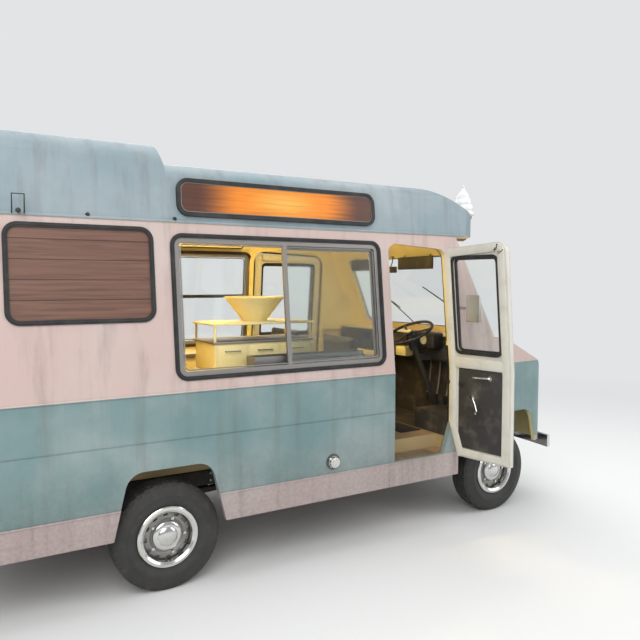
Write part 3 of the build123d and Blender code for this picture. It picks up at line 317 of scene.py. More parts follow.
def coach_paint(name, colours, bands, lining, inner):
    """Old satin coach paint in bands by height, faded and dusty outside and cream inside."""
    r = Recipe(name)
    z = r.axes()[2]
    base = r.mix(z.above(bands[0]), colours[0], colours[1])
    if len(bands) > 1:
        base = r.mix(z.above(bands[1]), base, colours[2])
    cloud = r.noise(1.3, 5, 0.6)
    fine = r.noise(46, 4, 0.6)
    runs = r.noise(1, 4, 0.6, r.here((14, 14, 0.9)))
    faded = r.mix(cloud.spread(0.35, 0.75) * 0.35, base, (0.55, 0.55, 0.54))
    dirt = tuple(bpy.context.scene.van_colours.dirt)
    film = runs.spread(0.45, 0.8) * 0.3 + z.spread(SILL_Z, 0.95, 0.42, 0.04) * fine.spread(0.3, 0.7, 0.5, 1)
    specks = r.cells(70).below(0.13) * r.noise(6).above(0.56) * z.spread(0.5, 1.5, 0.8, 0.15)
    skin = r.mix(film.least(0.8), faded, dirt)
    skin = r.mix(specks * 0.5, skin, dirt)
    inside = r.mix(r.noise(5, 4).spread(0.4, 0.8) * 0.25, lining, (0.35, 0.27, 0.16))
    colour = r.mix(inner(r), skin, inside)
    r.bump(r.noise(170, 2) * 0.3 + r.noise(7, 2), 0.0012, 0.5)
    rough = 0.36 + cloud * 0.12 + film * 0.5 + fine * 0.06
    return r.done(colour, rough, Coat_Weight=0.25, Coat_Roughness=0.3)


def rubber():
    """Weathered black rubber, greyer where it has bloomed."""
    r = Recipe("black_rubber")
    bloom = r.noise(9, 5, 0.65)
    grain = r.noise(260, 2)
    colour = r.mix(bloom.spread(0.4, 0.75) * 0.6, (0.012, 0.012, 0.012), (0.055, 0.053, 0.05))
    r.bump(grain, 0.0005, 0.5)
    return r.done(colour, 0.5 + bloom * 0.3)


def tyre_rubber():
    """Tyre rubber with dust in its grooves and dried mud on the shoulders."""
    r = Recipe("tyre_rubber")
    bloom = r.noise(6, 5, 0.6)
    mud = r.noise(22, 5, 0.7).spread(0.52, 0.72)
    grey = r.mix(bloom, (0.014, 0.014, 0.014), (0.045, 0.043, 0.04))
    r.bump(r.noise(300, 2) + mud, 0.0008, 0.6)
    return r.done(r.mix(mud * 0.55, grey, tone(88, 76, 62)), 0.68 + mud * 0.2)


def metal(name, colour, rough, smudge, grain=(1, 1, 1), stained=0.12):
    """Bare or plated metal with smudges, fine grain along one axis and stains."""
    r = Recipe(name)
    marks = r.noise(11, 5, 0.6)
    brushed = r.noise(120, 3, 0.6, r.here(grain))
    pits = r.noise(70, 3).spread(0.62, 0.75)
    shade = r.mix(brushed * 0.25, colour, tuple(part * 0.7 for part in colour))
    shade = r.mix(pits * stained + marks.spread(0.55, 0.8) * stained, shade, (0.12, 0.10, 0.08))
    r.bump(brushed + pits, 0.0004, 0.35)
    return r.done(shade, marks * smudge + brushed * smudge + rough, Metallic=1.0)


def glass(name, tint, rough=0.02):
    """Clear glass with a little dust."""
    r = Recipe(name)
    dust = r.noise(5, 5, 0.7)
    r.bump(dust, 0.0003, 0.2)
    return r.done(tint, dust * 0.05 + rough, Transmission_Weight=1.0, IOR=1.45)


def laminate(name, glow=False):
    """Brown wood-grain laminate in boards; with glow, the lit middle of the sign."""
    colours = bpy.context.scene.van_colours
    r = Recipe(name)
    x, _, z = r.axes()
    grain = r.noise(1, 6, 0.62, r.here((2.4, 40, 62)), 0.4)
    ring = r.noise(1, 3, 0.5, r.here((0.9, 9, 17)), 1.2)
    dark = tuple(part * 0.62 for part in colours.wood)
    light = tuple(min(1, part * 1.25) for part in colours.wood)
    wood = r.mix(grain.spread(0.3, 0.7), dark, light)
    wood = r.mix(ring.spread(0.4, 0.65) * 0.6, wood, tuple(colours.wood))
    joint = (z / BOARD_HEIGHT).fraction().below(0.035)
    if glow:
        rear, front = span("sign_panels", 0)
        along = ((x - (middle("sign_panels", 0) - AXLE_X)) / ((front - rear) / 2)).size()
        rise = ((z - middle("sign_panels", 2)) / SIGN_HALF_HEIGHT).size()
        lit = along.spread(0.42, 0.86, 1, 0) * rise.spread(0.5, 1.3, 1, 0.72)
        core = along.spread(0.0, 0.45, 1, 0) * rise.spread(0.0, 1.0, 1, 0.2)
        fire = r.mix(lit, tone(70, 34, 22), tuple(colours.glow))
        fire = r.mix(core * 0.75, fire, tone(255, 205, 92))
        fire = r.mix(grain.spread(0.35, 0.8) * (1 - lit * 0.7), fire, tone(40, 18, 10))
        r.link("Emission Color", fire)
        r.bump(grain, 0.0005, 0.3)
        shade = tuple(part * 0.35 for part in colours.wood)
        return r.done(shade, 0.3, Emission_Strength=1.0, Coat_Weight=0.3)
    board = r.mix(joint, wood, tuple(part * 0.2 for part in colours.wood))
    r.bump(grain * 0.4 - joint, 0.0012, 0.6)
    return r.done(board, 0.42 + grain * 0.15, Coat_Weight=0.15)


def plastic(name, colour, rough=0.45, grain=260, depth=0.0004, dust=0.2, coat=0.0):
    """Moulded plastic or painted trim with a fine leather grain and dust."""
    r = Recipe(name)
    marks = r.noise(8, 5, 0.6)
    shade = r.mix(marks.spread(0.45, 0.8) * dust, colour, (0.25, 0.22, 0.18))
    r.bump(r.cells(grain), depth, 0.4)
    return r.done(shade, marks * 0.2 + rough, Coat_Weight=coat)


def leathercloth():
    """Black leathercloth with a coarse grain, worn grey on the crowns."""
    r = Recipe("leathercloth")
    wear = r.noise(4, 5, 0.6)
    grain = r.cells(420)
    creases = r.noise(1, 5, 0.7, r.here((20, 60, 20)), 1.5)
    shade = r.mix(wear.spread(0.45, 0.8) * 0.6, tone(30, 28, 28), tone(74, 68, 62))
    r.bump(grain * 0.5 + creases.spread(0.5, 0.62), 0.0009, 0.6)
    return r.done(shade, 0.42 + wear * 0.25, Sheen_Weight=0.1)


def floor_cover():
    """Tan speckled floor covering with scuffs, plain and paler on its risers."""
    r = Recipe("floor_cover")
    speck = r.cells(160).below(0.22)
    scuff = r.noise(3, 6, 0.7)
    shade = r.mix(speck, tone(148, 124, 92), tone(96, 78, 58))
    shade = r.mix(scuff.spread(0.45, 0.75) * 0.5, shade, tone(74, 62, 50))
    level = r.vectors("DOT_PRODUCT", r.normal(), (0, 0, 1), 1).size()
    shade = r.mix(level.below(0.5), shade, tone(176, 156, 116))
    r.bump(r.cells(160), 0.0005, 0.4)
    return r.done(shade, 0.5 + scuff * 0.3)


def chassis_paint(name, colour, rust):
    """Black chassis paint or bare iron with road dirt and rust."""
    r = Recipe(name)
    patch = r.noise(9, 6, 0.7)
    grit = r.noise(90, 4, 0.6)
    shade = r.mix(patch.spread(0.5, 0.7) * rust, colour, tone(112, 62, 36))
    shade = r.mix(grit.spread(0.45, 0.7) * 0.5, shade, tone(84, 74, 62))
    r.bump(grit + patch, 0.0015, 0.6)
    return r.done(shade, 0.62 + grit * 0.25)


def wafer_paint():
    """Painted wafer with a pressed diamond pattern."""
    r = Recipe("wafer_paint")
    x, y, z = r.axes()
    side = y.size() - CONE.y
    turn = side.maths("ARCTAN2", side, x - CONE.x)
    first = (turn * WAFFLE_TURN + z * WAFFLE_RISE).fraction()
    second = (turn * WAFFLE_TURN - z * WAFFLE_RISE).fraction()
    ridge = (first - 0.5).size().spread(0.36, 0.46).most((second - 0.5).size().spread(0.36, 0.46))
    wafer = tuple(bpy.context.scene.van_colours.wafer)
    shade = r.mix(ridge, wafer, tuple(part * 0.55 for part in wafer))
    shade = r.mix(r.noise(30, 4).spread(0.5, 0.8) * 0.4, shade, (0.16, 0.11, 0.07))
    r.bump(1 - ridge, 0.003, 0.8)
    return r.done(shade, 0.5)


def swirl_paint():
    """White glass-fibre paint of the swirl, grey in its folds."""
    r = Recipe("swirl_paint")
    grime = r.noise(14, 5, 0.6)
    runs = r.noise(1, 4, 0.6, r.here((60, 60, 5)))
    swirl = tuple(bpy.context.scene.van_colours.swirl)
    shade = r.mix(grime.spread(0.4, 0.8) * 0.3 + runs.spread(0.55, 0.8) * 0.2, swirl, (0.35, 0.33, 0.30))
    r.bump(r.noise(90, 3), 0.0006, 0.4)
    return r.done(shade, 0.35 + grime * 0.2, Coat_Weight=0.2)


def lit(name, colour, strength):
    """A lit diffuser."""
    r = Recipe(name)
    ribs = r.noise(1, 2, 0.5, r.here((220, 4, 4)))
    r.link("Emission Color", r.mix(ribs * 0.3, colour, tuple(part * 0.8 for part in colour)))
    return r.done(colour, 0.4, Emission_Strength=strength)


def shell_inside(recipe):
    """One on the shell's faces that look in."""
    return 1 - recipe.outside()


def door_inside(recipe):
    """One behind the outer skin of the shut door."""
    return wall_depth(recipe).above(DOOR_SKIN)


def open_door_inside(recipe):
    """One behind the outer skin of the open door."""
    return wall_depth(recipe, True).above(DOOR_SKIN)


def coats():
    """All the finishes by name."""
    c = bpy.context.scene.van_colours
    roof, pink, teal, skirt = (tuple(v) for v in (c.roof, c.pink, c.teal, c.skirt))
    cream, lining = tuple(c.cream), tuple(c.door_lining)
    three = (skirt, teal, pink)
    return {
        "roof": coach_paint("roof_paint", (roof, roof), (1.0,), cream, shell_inside),
        "side": coach_paint("side_paint", three, (SKIRT_Z - 0.001, BELT_Z), cream, shell_inside),
        "skirt": coach_paint("skirt_paint", (skirt, skirt), (1.0,), tone(60, 56, 54), shell_inside),
        "door_shut": coach_paint("left_door_paint", three, (SKIRT_Z, BELT_Z), lining, door_inside),
        "door_open": coach_paint("right_door_paint", three, (SKIRT_Z, BELT_Z), lining, open_door_inside),
        "rubber": rubber(),
        "tyre": tyre_rubber(),
        "aluminium": metal("window_aluminium", tone(158, 154, 150), 0.30, 0.18, (0.05, 1, 1)),
        "chrome": metal("chrome", tone(214, 214, 210), 0.07, 0.1, stained=0.25),
        "steel": metal("dull_steel", tone(150, 148, 144), 0.35, 0.2, stained=0.4),
        "glass": glass("window_glass", tone(244, 247, 245)),
        "lens": glass("lamp_lens", tone(244, 246, 246), 0.08),
        "wood": laminate("brown_laminate"),
        "sign": laminate("sign_face", True),
        "black": plastic("black_plastic", tone(24, 24, 25), 0.42),
        "dash": plastic("dash_plastic", tone(48, 46, 44), 0.5, dust=0.35),
        "lining": plastic("door_lining", lining, 0.42, 150, 0.0003, 0.3, 0.1),
        "cream": plastic("cream_paint", cream, 0.38, 90, 0.0003, 0.18, 0.2),
        "amber": plastic("amber_lens", tone(216, 112, 24), 0.15, 200, 0.0006, 0.1, 0.6),
        "red": plastic("red_lens", tone(150, 18, 16), 0.15, 200, 0.0006, 0.1, 0.6),
        "plate": plastic("blank_plate", tone(196, 190, 150), 0.35, 300, 0.0002, 0.25),
        "leather": leathercloth(),
        "floor": floor_cover(),
        "chassis": chassis_paint("chassis_black", tone(34, 33, 33), 0.45),
        "iron": chassis_paint("cast_iron", tone(62, 60, 60), 0.3),
        "rust": chassis_paint("rusty_steel", tone(96, 70, 52), 0.95),
        "wafer": wafer_paint(),
        "swirl": swirl_paint(),
        "lamp": lit("warm_diffuser", tone(255, 224, 140), 64.0),
    }


CORNERS = tuple(f"{end}_{side}" for end in ("front", "rear") for side in ("right", "left"))
SIDES = tuple(f"side_{side}_{part}" for part in ("upper", "lower") for side in ("right", "left"))
RUNNING_GEAR = ("front_axle", "rear_axle", "leaf_springs", "knuckle_right", "knuckle_left")
NODE_COATS = {
    "roof": ("roof",),
    "side": (*SIDES, "rear_wall", "cab_front", "nose", "bonnet", "rear_door"),
    "skirt": ("skirts",),
    "door_shut": ("door_left",),
    "door_open": ("door_right",),
    "glass": ("windscreen", "door_glass_right", "door_glass_left", "rear_door_glass", "window_panes"),
    "rubber": ("window_seals", "sign_frames"),
    "aluminium": ("window_frames", "serving_tray"),
    "wood": ("window_boards",),
    "sign": ("sign_panels",),
    "chrome": ("grille", "headlamps", "fuel_cap", "bumpers", "mirrors"),
    "amber": ("front_indicators",),
    "red": ("tail_lamps",),
    "chassis": ("chassis_frame", *RUNNING_GEAR, "fuel_tank"),
    "iron": ("engine",),
    "rust": ("exhaust",),
    "floor": ("floor",),
    "cream": ("counters",),
    "dash": ("dashboard", "bulkhead"),
    "black": ("seat_frames", "steering_wheel"),
    "leather": ("seat_cushions",),
    "wafer": ("cones",),
    "tyre": tuple(f"tyre_{corner}" for corner in CORNERS),
    "steel": tuple(f"rim_{corner}" for corner in CORNERS),
}


# Mesh work, in the van's own places


def fresh(bm, before):
    """Vertices that aren't in a set of those there before."""
    return [vert for vert in bm.verts if vert not in before]


def round_off(bm, geom, offset, steps=2, affect="EDGES"):
    """Rounds edges, or the corners of a flat shape."""
    bmesh.ops.bevel(bm, geom=geom, offset=offset, segments=steps, profile=0.5, affect=affect, material=-1)


def slab(bm, low, high, edge=0.0, steps=2):
    """A block between two corners with its edges rounded."""
    before = set(bm.verts)
    low, high = Vector(low), Vector(high)
    made = bmesh.ops.create_cube(bm, size=1)["verts"]
    bmesh.ops.scale(bm, vec=high - low, verts=made)
    bmesh.ops.translate(bm, vec=(low + high) / 2, verts=made)
    if edge:
        round_off(bm, list({e for vert in made for e in vert.link_edges}), edge, steps)
    return fresh(bm, before)


def rod(bm, start, end, radius, sides=12, taper=None, edge=0.0):
    """A round bar from one point to another, tapered to a second radius if given."""
    before = set(bm.verts)
    start, end = Vector(start), Vector(end)
    along = end - start
    place = Matrix.Translation((start + end) / 2) @ along.to_track_quat("Z", "Y").to_matrix().to_4x4()
    sizes = {"radius1": radius, "radius2": radius if taper is None else taper, "depth": along.length}
    bmesh.ops.create_cone(bm, cap_ends=True, segments=sides, matrix=place, **sizes)
    if edge:
        edges = {e for v in fresh(bm, before) for e in v.link_edges}
        round_off(bm, [e for e in edges if any(len(f.verts) > 4 for f in e.link_faces)], edge)
    return fresh(bm, before)


def plate(bm, width, height, corner):
    """A flat rounded rectangle about the origin in the XY plane."""
    before = set(bm.verts)
    made = bmesh.ops.create_grid(bm, x_segments=1, y_segments=1, size=0.5)["verts"]
    bmesh.ops.scale(bm, vec=(width, height, 1), verts=made)
    round_off(bm, made, corner, 6, "VERTICES")
    return fresh(bm, before)


def band_of(bm, made, width):
    """Leaves a band along the outline of a flat shape, and gives its faces."""
    face = list({f for v in made for f in v.link_faces})
    band = bmesh.ops.inset_region(bm, faces=face, thickness=width, use_even_offset=True, use_boundary=True)
    bmesh.ops.delete(bm, geom=face, context="FACES_ONLY")
    return band["faces"]


def thicken(bm, faces, depth, edge=0.0):
    """Gives flat faces at Z nought a depth upwards and rounds their upper rim."""
    before = set(bm.verts)
    bmesh.ops.solidify(bm, geom=faces, thickness=depth)
    verts = list({*fresh(bm, before), *(v for f in faces if f.is_valid for v in f.verts)})
    bmesh.ops.translate(bm, vec=(0, 0, -min(v.co.z for v in verts)), verts=verts)
    if edge:
        edges = {e for v in verts for e in v.link_edges}
        upper = [e for e in edges if min(w.co.z for w in e.verts) > depth * 0.5]
        round_off(bm, [e for e in upper if e.calc_face_angle(0) > 0.8], edge)


def ring(bm, width, height, corner, band, depth, edge=0.0, place=None):
    """A rounded rectangular ring: a band of a width and depth inside an outline."""
    before = set(bm.verts)
    thicken(bm, band_of(bm, plate(bm, width, height, corner), band), depth, edge)
    verts = fresh(bm, before)
    if place is not None:
        bmesh.ops.transform(bm, matrix=place, verts=verts)
    return verts


def bar(bm, points, radius, sides=3, smooth=False):
    """A round bar along points, taken from a curve with a bevel."""
    line = bpy.data.curves.new("bar", "CURVE")
    line.dimensions = "3D"
    line.bevel_depth = radius
    line.bevel_resolution = sides
    line.use_fill_caps = True
    run = line.splines.new("NURBS" if smooth else "POLY")
    run.points.add(len(points) - 1)
    for point, place in zip(run.points, points):
        point.co = (*place, 1)
    if smooth:
        run.order_u = 3
        run.use_endpoint_u = True
    holder = bpy.data.objects.new("bar", line)
    bpy.context.scene.collection.objects.link(holder)
    mesh = bpy.data.meshes.new_from_object(holder.evaluated_get(bpy.context.evaluated_depsgraph_get()))
    bm.from_mesh(mesh)
    bpy.data.objects.remove(holder)
    bpy.data.curves.remove(line)
    bpy.data.meshes.remove(mesh)


def both_sides(bm):
    """Adds the mirror image across the centre plane."""
    geom = bm.verts[:] + bm.edges[:] + bm.faces[:]
    bmesh.ops.mirror(bm, geom=geom, axis="Y", merge_dist=0)


def join(bm, part):
    """Adds a part that was shaped by itself to a piece, and frees it."""
    mesh = bpy.data.meshes.new("part")
    part.to_mesh(mesh)
    part.free()
    bm.from_mesh(mesh)
    bpy.data.meshes.remove(mesh)


def turned(bm, profile, centre, axis, steps=48):
    """A turned part: a profile of points (along, out) spun about an axis through a centre."""
    before = set(bm.verts)
    axis = Vector(axis).normalized()
    side = axis.orthogonal().normalized()
    verts = [bm.verts.new(Vector(centre) + axis * along + side * out) for along, out in profile]
    edges = [bm.edges.new(pair) for pair in zip(verts, verts[1:])]
    way = {"cent": centre, "axis": axis, "angle": 2 * pi, "steps": steps}
    bmesh.ops.spin(bm, geom=verts + edges, use_merge=True, use_duplicate=False, **way)
    bmesh.ops.remove_doubles(bm, verts=fresh(bm, before), dist=1e-6)
    return fresh(bm, before)


def hoop(bm, profile, centre, axis, steps):
    """A turned part whose profile closes on itself."""
    turned(bm, [*profile, profile[0]], centre, axis, steps)


RIGHT_WALL = Matrix.Translation((0, -HALF_WIDTH, BELT_Z)) @ Matrix.Rotation(pi / 2 - LEAN, 4, "X")
MIRROR = Matrix.Scale(-1, 4, (0, 1, 0))
OPENED = Matrix.Translation(HINGE) @ Matrix.Rotation(DOOR_OPEN, 4, "Z") @ Matrix.Translation(-HINGE)


def up_wall(z):
    """Distance up the leaning wall from the belt to a height."""
    return (z - BELT_Z) / cos(LEAN)


def on_wall(rear, front, foot, head, out=0.0, left=False):
    """Size of a window on the leaning wall, and the matrix that places it."""
    low, high = up_wall(foot), up_wall(head)
    place = RIGHT_WALL @ Matrix.Translation(((rear + front) / 2, (low + high) / 2, out))
    return front - rear, high - low, MIRROR @ place if left else place


def wall_y(z):
    """Half width of the body's outer face at a height."""
    return HALF_WIDTH - max(0, z - BELT_Z) * tan(LEAN)


def piece(name, bm, finish, body="body", replaces=(), turn=None, angle=35):
    """Makes a finished piece of a mesh: its place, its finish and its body."""
    if turn is not None:
        bmesh.ops.transform(bm, matrix=turn, verts=bm.verts)
    bmesh.ops.translate(bm, vec=ORIGIN, verts=bm.verts)
    bmesh.ops.recalc_face_normals(bm, faces=bm.faces)
    mesh = bpy.data.meshes.new(name)
    bm.to_mesh(mesh)
    bm.free()
    mesh.polygons.foreach_set("use_smooth", [True] * len(mesh.polygons))
    mesh.set_sharp_from_angle(angle=radians(angle))
    mesh.materials.append(bpy.data.materials[bpy.context.scene["coats"][finish]])
    made = bpy.data.objects.new(name, mesh)
    bpy.context.scene.collection.objects.link(made)
    if body:
        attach(made, body)
    if replaces:
        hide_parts(*replaces)
    return made


REAR_WINDOW = (-0.850, -0.063, 1.614, 2.159)
WINDOWS = {
    "right": ((0.034, RIGHT_DOOR_REAR - 0.072, 1.264, 2.132), REAR_WINDOW),
    "left": ((0.034, LEFT_DOOR_REAR - 0.035, 1.264, 2.132), REAR_WINDOW),
}
SEAL_BAND = 0.026
SEAL_PROUD = 0.0073
WINDOW_CORNER = 0.075


def window_places(out, large_only=False):
    """Width, height and place of each side window, at a distance off the wall."""
    for side, windows in WINDOWS.items():
        for window in windows[:1] if large_only else windows:
            yield on_wall(*window, out=out, left=side == "left")


class VanOperator(bpy.types.Operator):
    """What the van's operators share."""

    bl_options = {"REGISTER"}

    @property
    def sizes(self):
        """The van's sizes."""
        return bpy.context.scene.van_sizes


class VAN_OT_stage(VanOperator):
    """Floor, soft studio light and the camera at the photograph's place"""

    bl_idname = "van.stage"
    bl_label = "Stage"

    FLOOR_SIZE = 60
    LAMPS = (
        ("key", (-4.5, -7.0, 6.5), 7.0, 620),
        ("fill", (7.5, -5.0, 4.5), 6.0, 260),
        ("back", (1.0, 8.0, 6.0), 7.0, 330),
        ("top", (1.0, 0.0, 8.5), 7.0, 260),
    )
    CAMERA_PLACE = (AXLE_X - 1.125, MID_Y - 4.625, 1.835)
    CAMERA_TURN = (radians(90 - 3.26), 0, radians(-30.6))
    LENS = 36

    def execute(self, context):
        context.scene.view_settings.view_transform = "Standard"
        self.sky(context.scene)
        self.ground(context.scene)
        target = Vector((AXLE_X + 1.0, MID_Y, 1.2))
        for name, place, size, power in self.LAMPS:
            light = bpy.data.lights.new(name, "AREA")
            light.size = size
            light.energy = power
            turn = (target - Vector(place)).to_track_quat("-Z", "Y").to_euler()
            self.stand(context.scene, name, light, place, turn)
        view = bpy.data.cameras.new("photograph")
        view.sensor_width = view.lens = self.LENS
        camera = self.stand(context.scene, "photograph", view, self.CAMERA_PLACE, self.CAMERA_TURN)
        context.scene.camera = camera
        return {"FINISHED"}

    def stand(self, scene, name, data, place, turn):
        """Sets up a lamp or the camera."""
        made = bpy.data.objects.new(name, data)
        made.location = place
        made.rotation_euler = turn
        scene.collection.objects.link(made)
        return made

    def sky(self, scene):
        """A soft white light from all round, which is seen as the plain backdrop."""
        scene.world = bpy.data.worlds.new("studio")
        scene.world.use_nodes = True
        tree = scene.world.node_tree
        light = tree.nodes["Background"]
        light.inputs["Color"].default_value = (*tone(236, 240, 246), 1)
        light.inputs["Strength"].default_value = 0.55
        shown = tree.nodes.new("ShaderNodeBackground")
        shown.inputs["Color"].default_value = (*tone(*BACKDROP), 1)
        shown.inputs["Strength"].default_value = 1.0
        rays = tree.nodes.new("ShaderNodeLightPath")
        either = tree.nodes.new("ShaderNodeMath")
        either.operation = "MAXIMUM"
        blend = tree.nodes.new("ShaderNodeMixShader")
        for source, target in (
            (rays.outputs["Is Camera Ray"], either.inputs[0]),
            (rays.outputs["Is Transmission Ray"], either.inputs[1]),
            (either.outputs[0], blend.inputs[0]),
            (light.outputs[0], blend.inputs[1]),
            (shown.outputs[0], blend.inputs[2]),
            (blend.outputs[0], tree.nodes["World Output"].inputs[0]),
        ):
            tree.links.new(source, target)

    def ground(self, scene):
        """A plain pale floor that fades into the backdrop with distance."""
        bm = bmesh.new()
        bmesh.ops.create_grid(bm, x_segments=1, y_segments=1, size=self.FLOOR_SIZE)
        mesh = bpy.data.meshes.new("studio_floor")
        bm.to_mesh(mesh)
        bm.free()
        r = Recipe("studio_floor")
        mesh.materials.append(r.done(tone(226, 226, 224), 0.8))
        away = r.node("ShaderNodeVectorMath", {"operation": "LENGTH"}, {0: r.here()}, 1)
        path = r.raw("ShaderNodeLightPath").outputs
        seen = Signal(r, path["Is Camera Ray"]).most(Signal(r, path["Is Transmission Ray"]))
        glow = r.raw("ShaderNodeEmission", None, {"Color": (*tone(*BACKDROP), 1), "Strength": 1.0})
        fade = r.raw("ShaderNodeMixShader", None, {0: away.spread(*FADE) * seen})
        r.tree.links.new(r.shader.outputs[0], fade.inputs[1])
        r.tree.links.new(glow.outputs[0], fade.inputs[2])
        r.tree.links.new(fade.outputs[0], r.tree.nodes["Material Output"].inputs[0])
        floor = bpy.data.objects.new("studio_floor", mesh)
        scene.collection.objects.link(floor)


class VAN_OT_paint(VanOperator):
    """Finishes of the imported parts"""

    bl_idname = "van.paint"
    bl_label = "Finishes"

    def execute(self, context):
        made = coats()
        context.scene["coats"] = {short: material.name for short, material in made.items()}
        for short, nodes in NODE_COATS.items():
            for node in nodes:
                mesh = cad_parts[node].data
                mesh.materials.clear()
                mesh.materials.append(made[short])
        return {"FINISHED"}


def screw(bm, x, y, place, size, top, foot=-0.002):
    """The head of a trim screw on the face of a window or a light box."""
    head = rod(bm, (x, y, foot), (x, y, 0.0022), size, 10, top)
    bmesh.ops.transform(bm, matrix=place, verts=head)


class VAN_OT_windows(VanOperator):
    """Filler beads, channels and catches of the side windows"""

    bl_idname = "van.windows"
    bl_label = "Windows"

    FRAME_INSET = 0.037
    CHANNEL_INSET = 0.118

    def execute(self, context):
        bead = self.sizes.bead
        inset = (SEAL_BAND - bead) / 2
        beads = bmesh.new()
        for width, height, place in window_places(SEAL_PROUD):
            corner = WINDOW_CORNER - inset
            ring(beads, width - 2 * inset, height - 2 * inset, corner, bead, 0.0035, 0.0015, place)
        piece("seal_beads", beads, "rubber")
        rails = bmesh.new()
        for width, height, place in window_places(-0.011, True):
            cut = self.CHANNEL_INSET
            ring(rails, width - cut, height - cut, 0.03, 0.008, 0.007, 0.002, place)
        piece("window_channels", rails, "aluminium")

        catches = bmesh.new()
        slab(catches, (-0.005, -0.06, -0.040), (0.014, 0.06, -0.026), 0.004)
        slab(catches, (0.0, -0.022, -0.050), (0.010, 0.022, -0.036), 0.004)
        for rise in (-0.045, 0.045):
            rod(catches, (0.004, rise, -0.046), (0.004, rise, -0.024), 0.003, 8)
        serving = on_wall(*WINDOWS["right"][0])[2]
        piece("sash_catch", catches, "chrome", turn=serving)

        screws = bmesh.new()
        size = self.sizes.screw
        for width, height, place in window_places(0.0, True):
            half_x, half_y = width / 2 - self.FRAME_INSET, height / 2 - self.FRAME_INSET
            points = [(x, y) for x in (-half_x, half_x) for y in (-0.22, 0.22)]
            points += [(half_x * part, y) for part in (-0.8, -0.4, 0.4, 0.8) for y in (-half_y, half_y)]
            for x, y in points:
                screw(screws, x, y, place, size, size * 0.6)
        piece("window_screws", screws, "steel")
        return {"FINISHED"}


class VAN_OT_signs(VanOperator):
    """Bright inner edges and screws of the blank light boxes"""

    bl_idname = "van.signs"
    bl_label = "Light boxes"

    SIGN = (0.084, POST_X - 0.644, 2.234, 2.459)
    EDGE_INSET = 0.0242
    EDGE_OUT = 0.0144
    FACE_OUT = 0.0222

    def execute(self, context):
        edges = bmesh.new()
        screws = bmesh.new()
        for left in (False, True):
            width, height, place = on_wall(*self.SIGN, out=self.EDGE_OUT, left=left)
            cut = 2 * self.EDGE_INSET
            ring(edges, width - cut, height - cut, 0.046, 0.005, 0.004, 0.0012, place)
            place = on_wall(*self.SIGN, out=self.FACE_OUT, left=left)[2]
            for x in (0.35 - width / 2, 0, width / 2 - 0.35):
                for y in (0.012 - height / 2, height / 2 - 0.012):
                    screw(screws, x, y, place, self.sizes.screw, 0.003, -0.001)
        piece("sign_edges", edges, "steel")
        piece("sign_screws", screws, "black")
        return {"FINISHED"}


TYRE_HALF = TYRE_WIDTH / 2
BEAD = (TYRE_HALF - 0.022, 0.1785)
TYRE_WALL = (
    BEAD,
    (TYRE_HALF - 0.016, 0.196),
    (TYRE_HALF - 0.007, 0.208),
    (TYRE_HALF - 0.001, 0.226),
    (TYRE_HALF, 0.243),
    (TYRE_HALF + 0.0015, 0.2435),
    (TYRE_HALF + 0.0015, 0.2475),
    (TYRE_HALF - 0.0004, 0.248),
    (TYRE_HALF - 0.003, 0.272),
    (TYRE_HALF - 0.0085, 0.294),
    (TYRE_HALF - 0.0140, 0.308),
    (TYRE_HALF - 0.0260, TYRE_RADIUS - 0.0025),
)
RIM_FACE = ((0.0765, 0.1845), (0.0795, 0.1830), (0.0795, 0.1745), (0.0720, 0.1700), (0.0400, 0.1660))
RIM_FACE += ((0.0320, 0.1600), (0.0400, 0.1420), (0.0460, 0.1220), (0.0450, 0.1060), (0.0380, 0.0960))
RIM_FACE += ((0.0380, 0.0300), (0.0380, 0.0))
RIM_BACK = ((-0.0464, 0.0), (-0.0464, 0.070), (0.0180, 0.086), (0.0300, 0.104), (0.0300, 0.130))
RIM_BACK += ((0.0200, 0.160), (-0.0700, 0.1680), (-0.0795, 0.1745), (-0.0765, 0.1845), (-0.0690, 0.1782))
RIM_BACK += ((0.0690, 0.1782), (0.0765, 0.1845))
TRIM_RING = ((0.0800, 0.1860), (0.0850, 0.1800), (0.0860, 0.1640), (0.0780, 0.1520), (0.0500, 0.1480))
TRIM_RING += ((0.0480, 0.1465), (0.0760, 0.1500), (0.0840, 0.1640), (0.0830, 0.1790), (0.0780, 0.1845))
HUB_CAP = ((0.0380, 0.0880), (0.0420, 0.0900), (0.0560, 0.0860), (0.0640, 0.0740), (0.0640, 0.0600))
HUB_CAP += ((0.0690, 0.0560), (0.0760, 0.0400), (0.0790, 0.0200), (0.0800, 0.0))


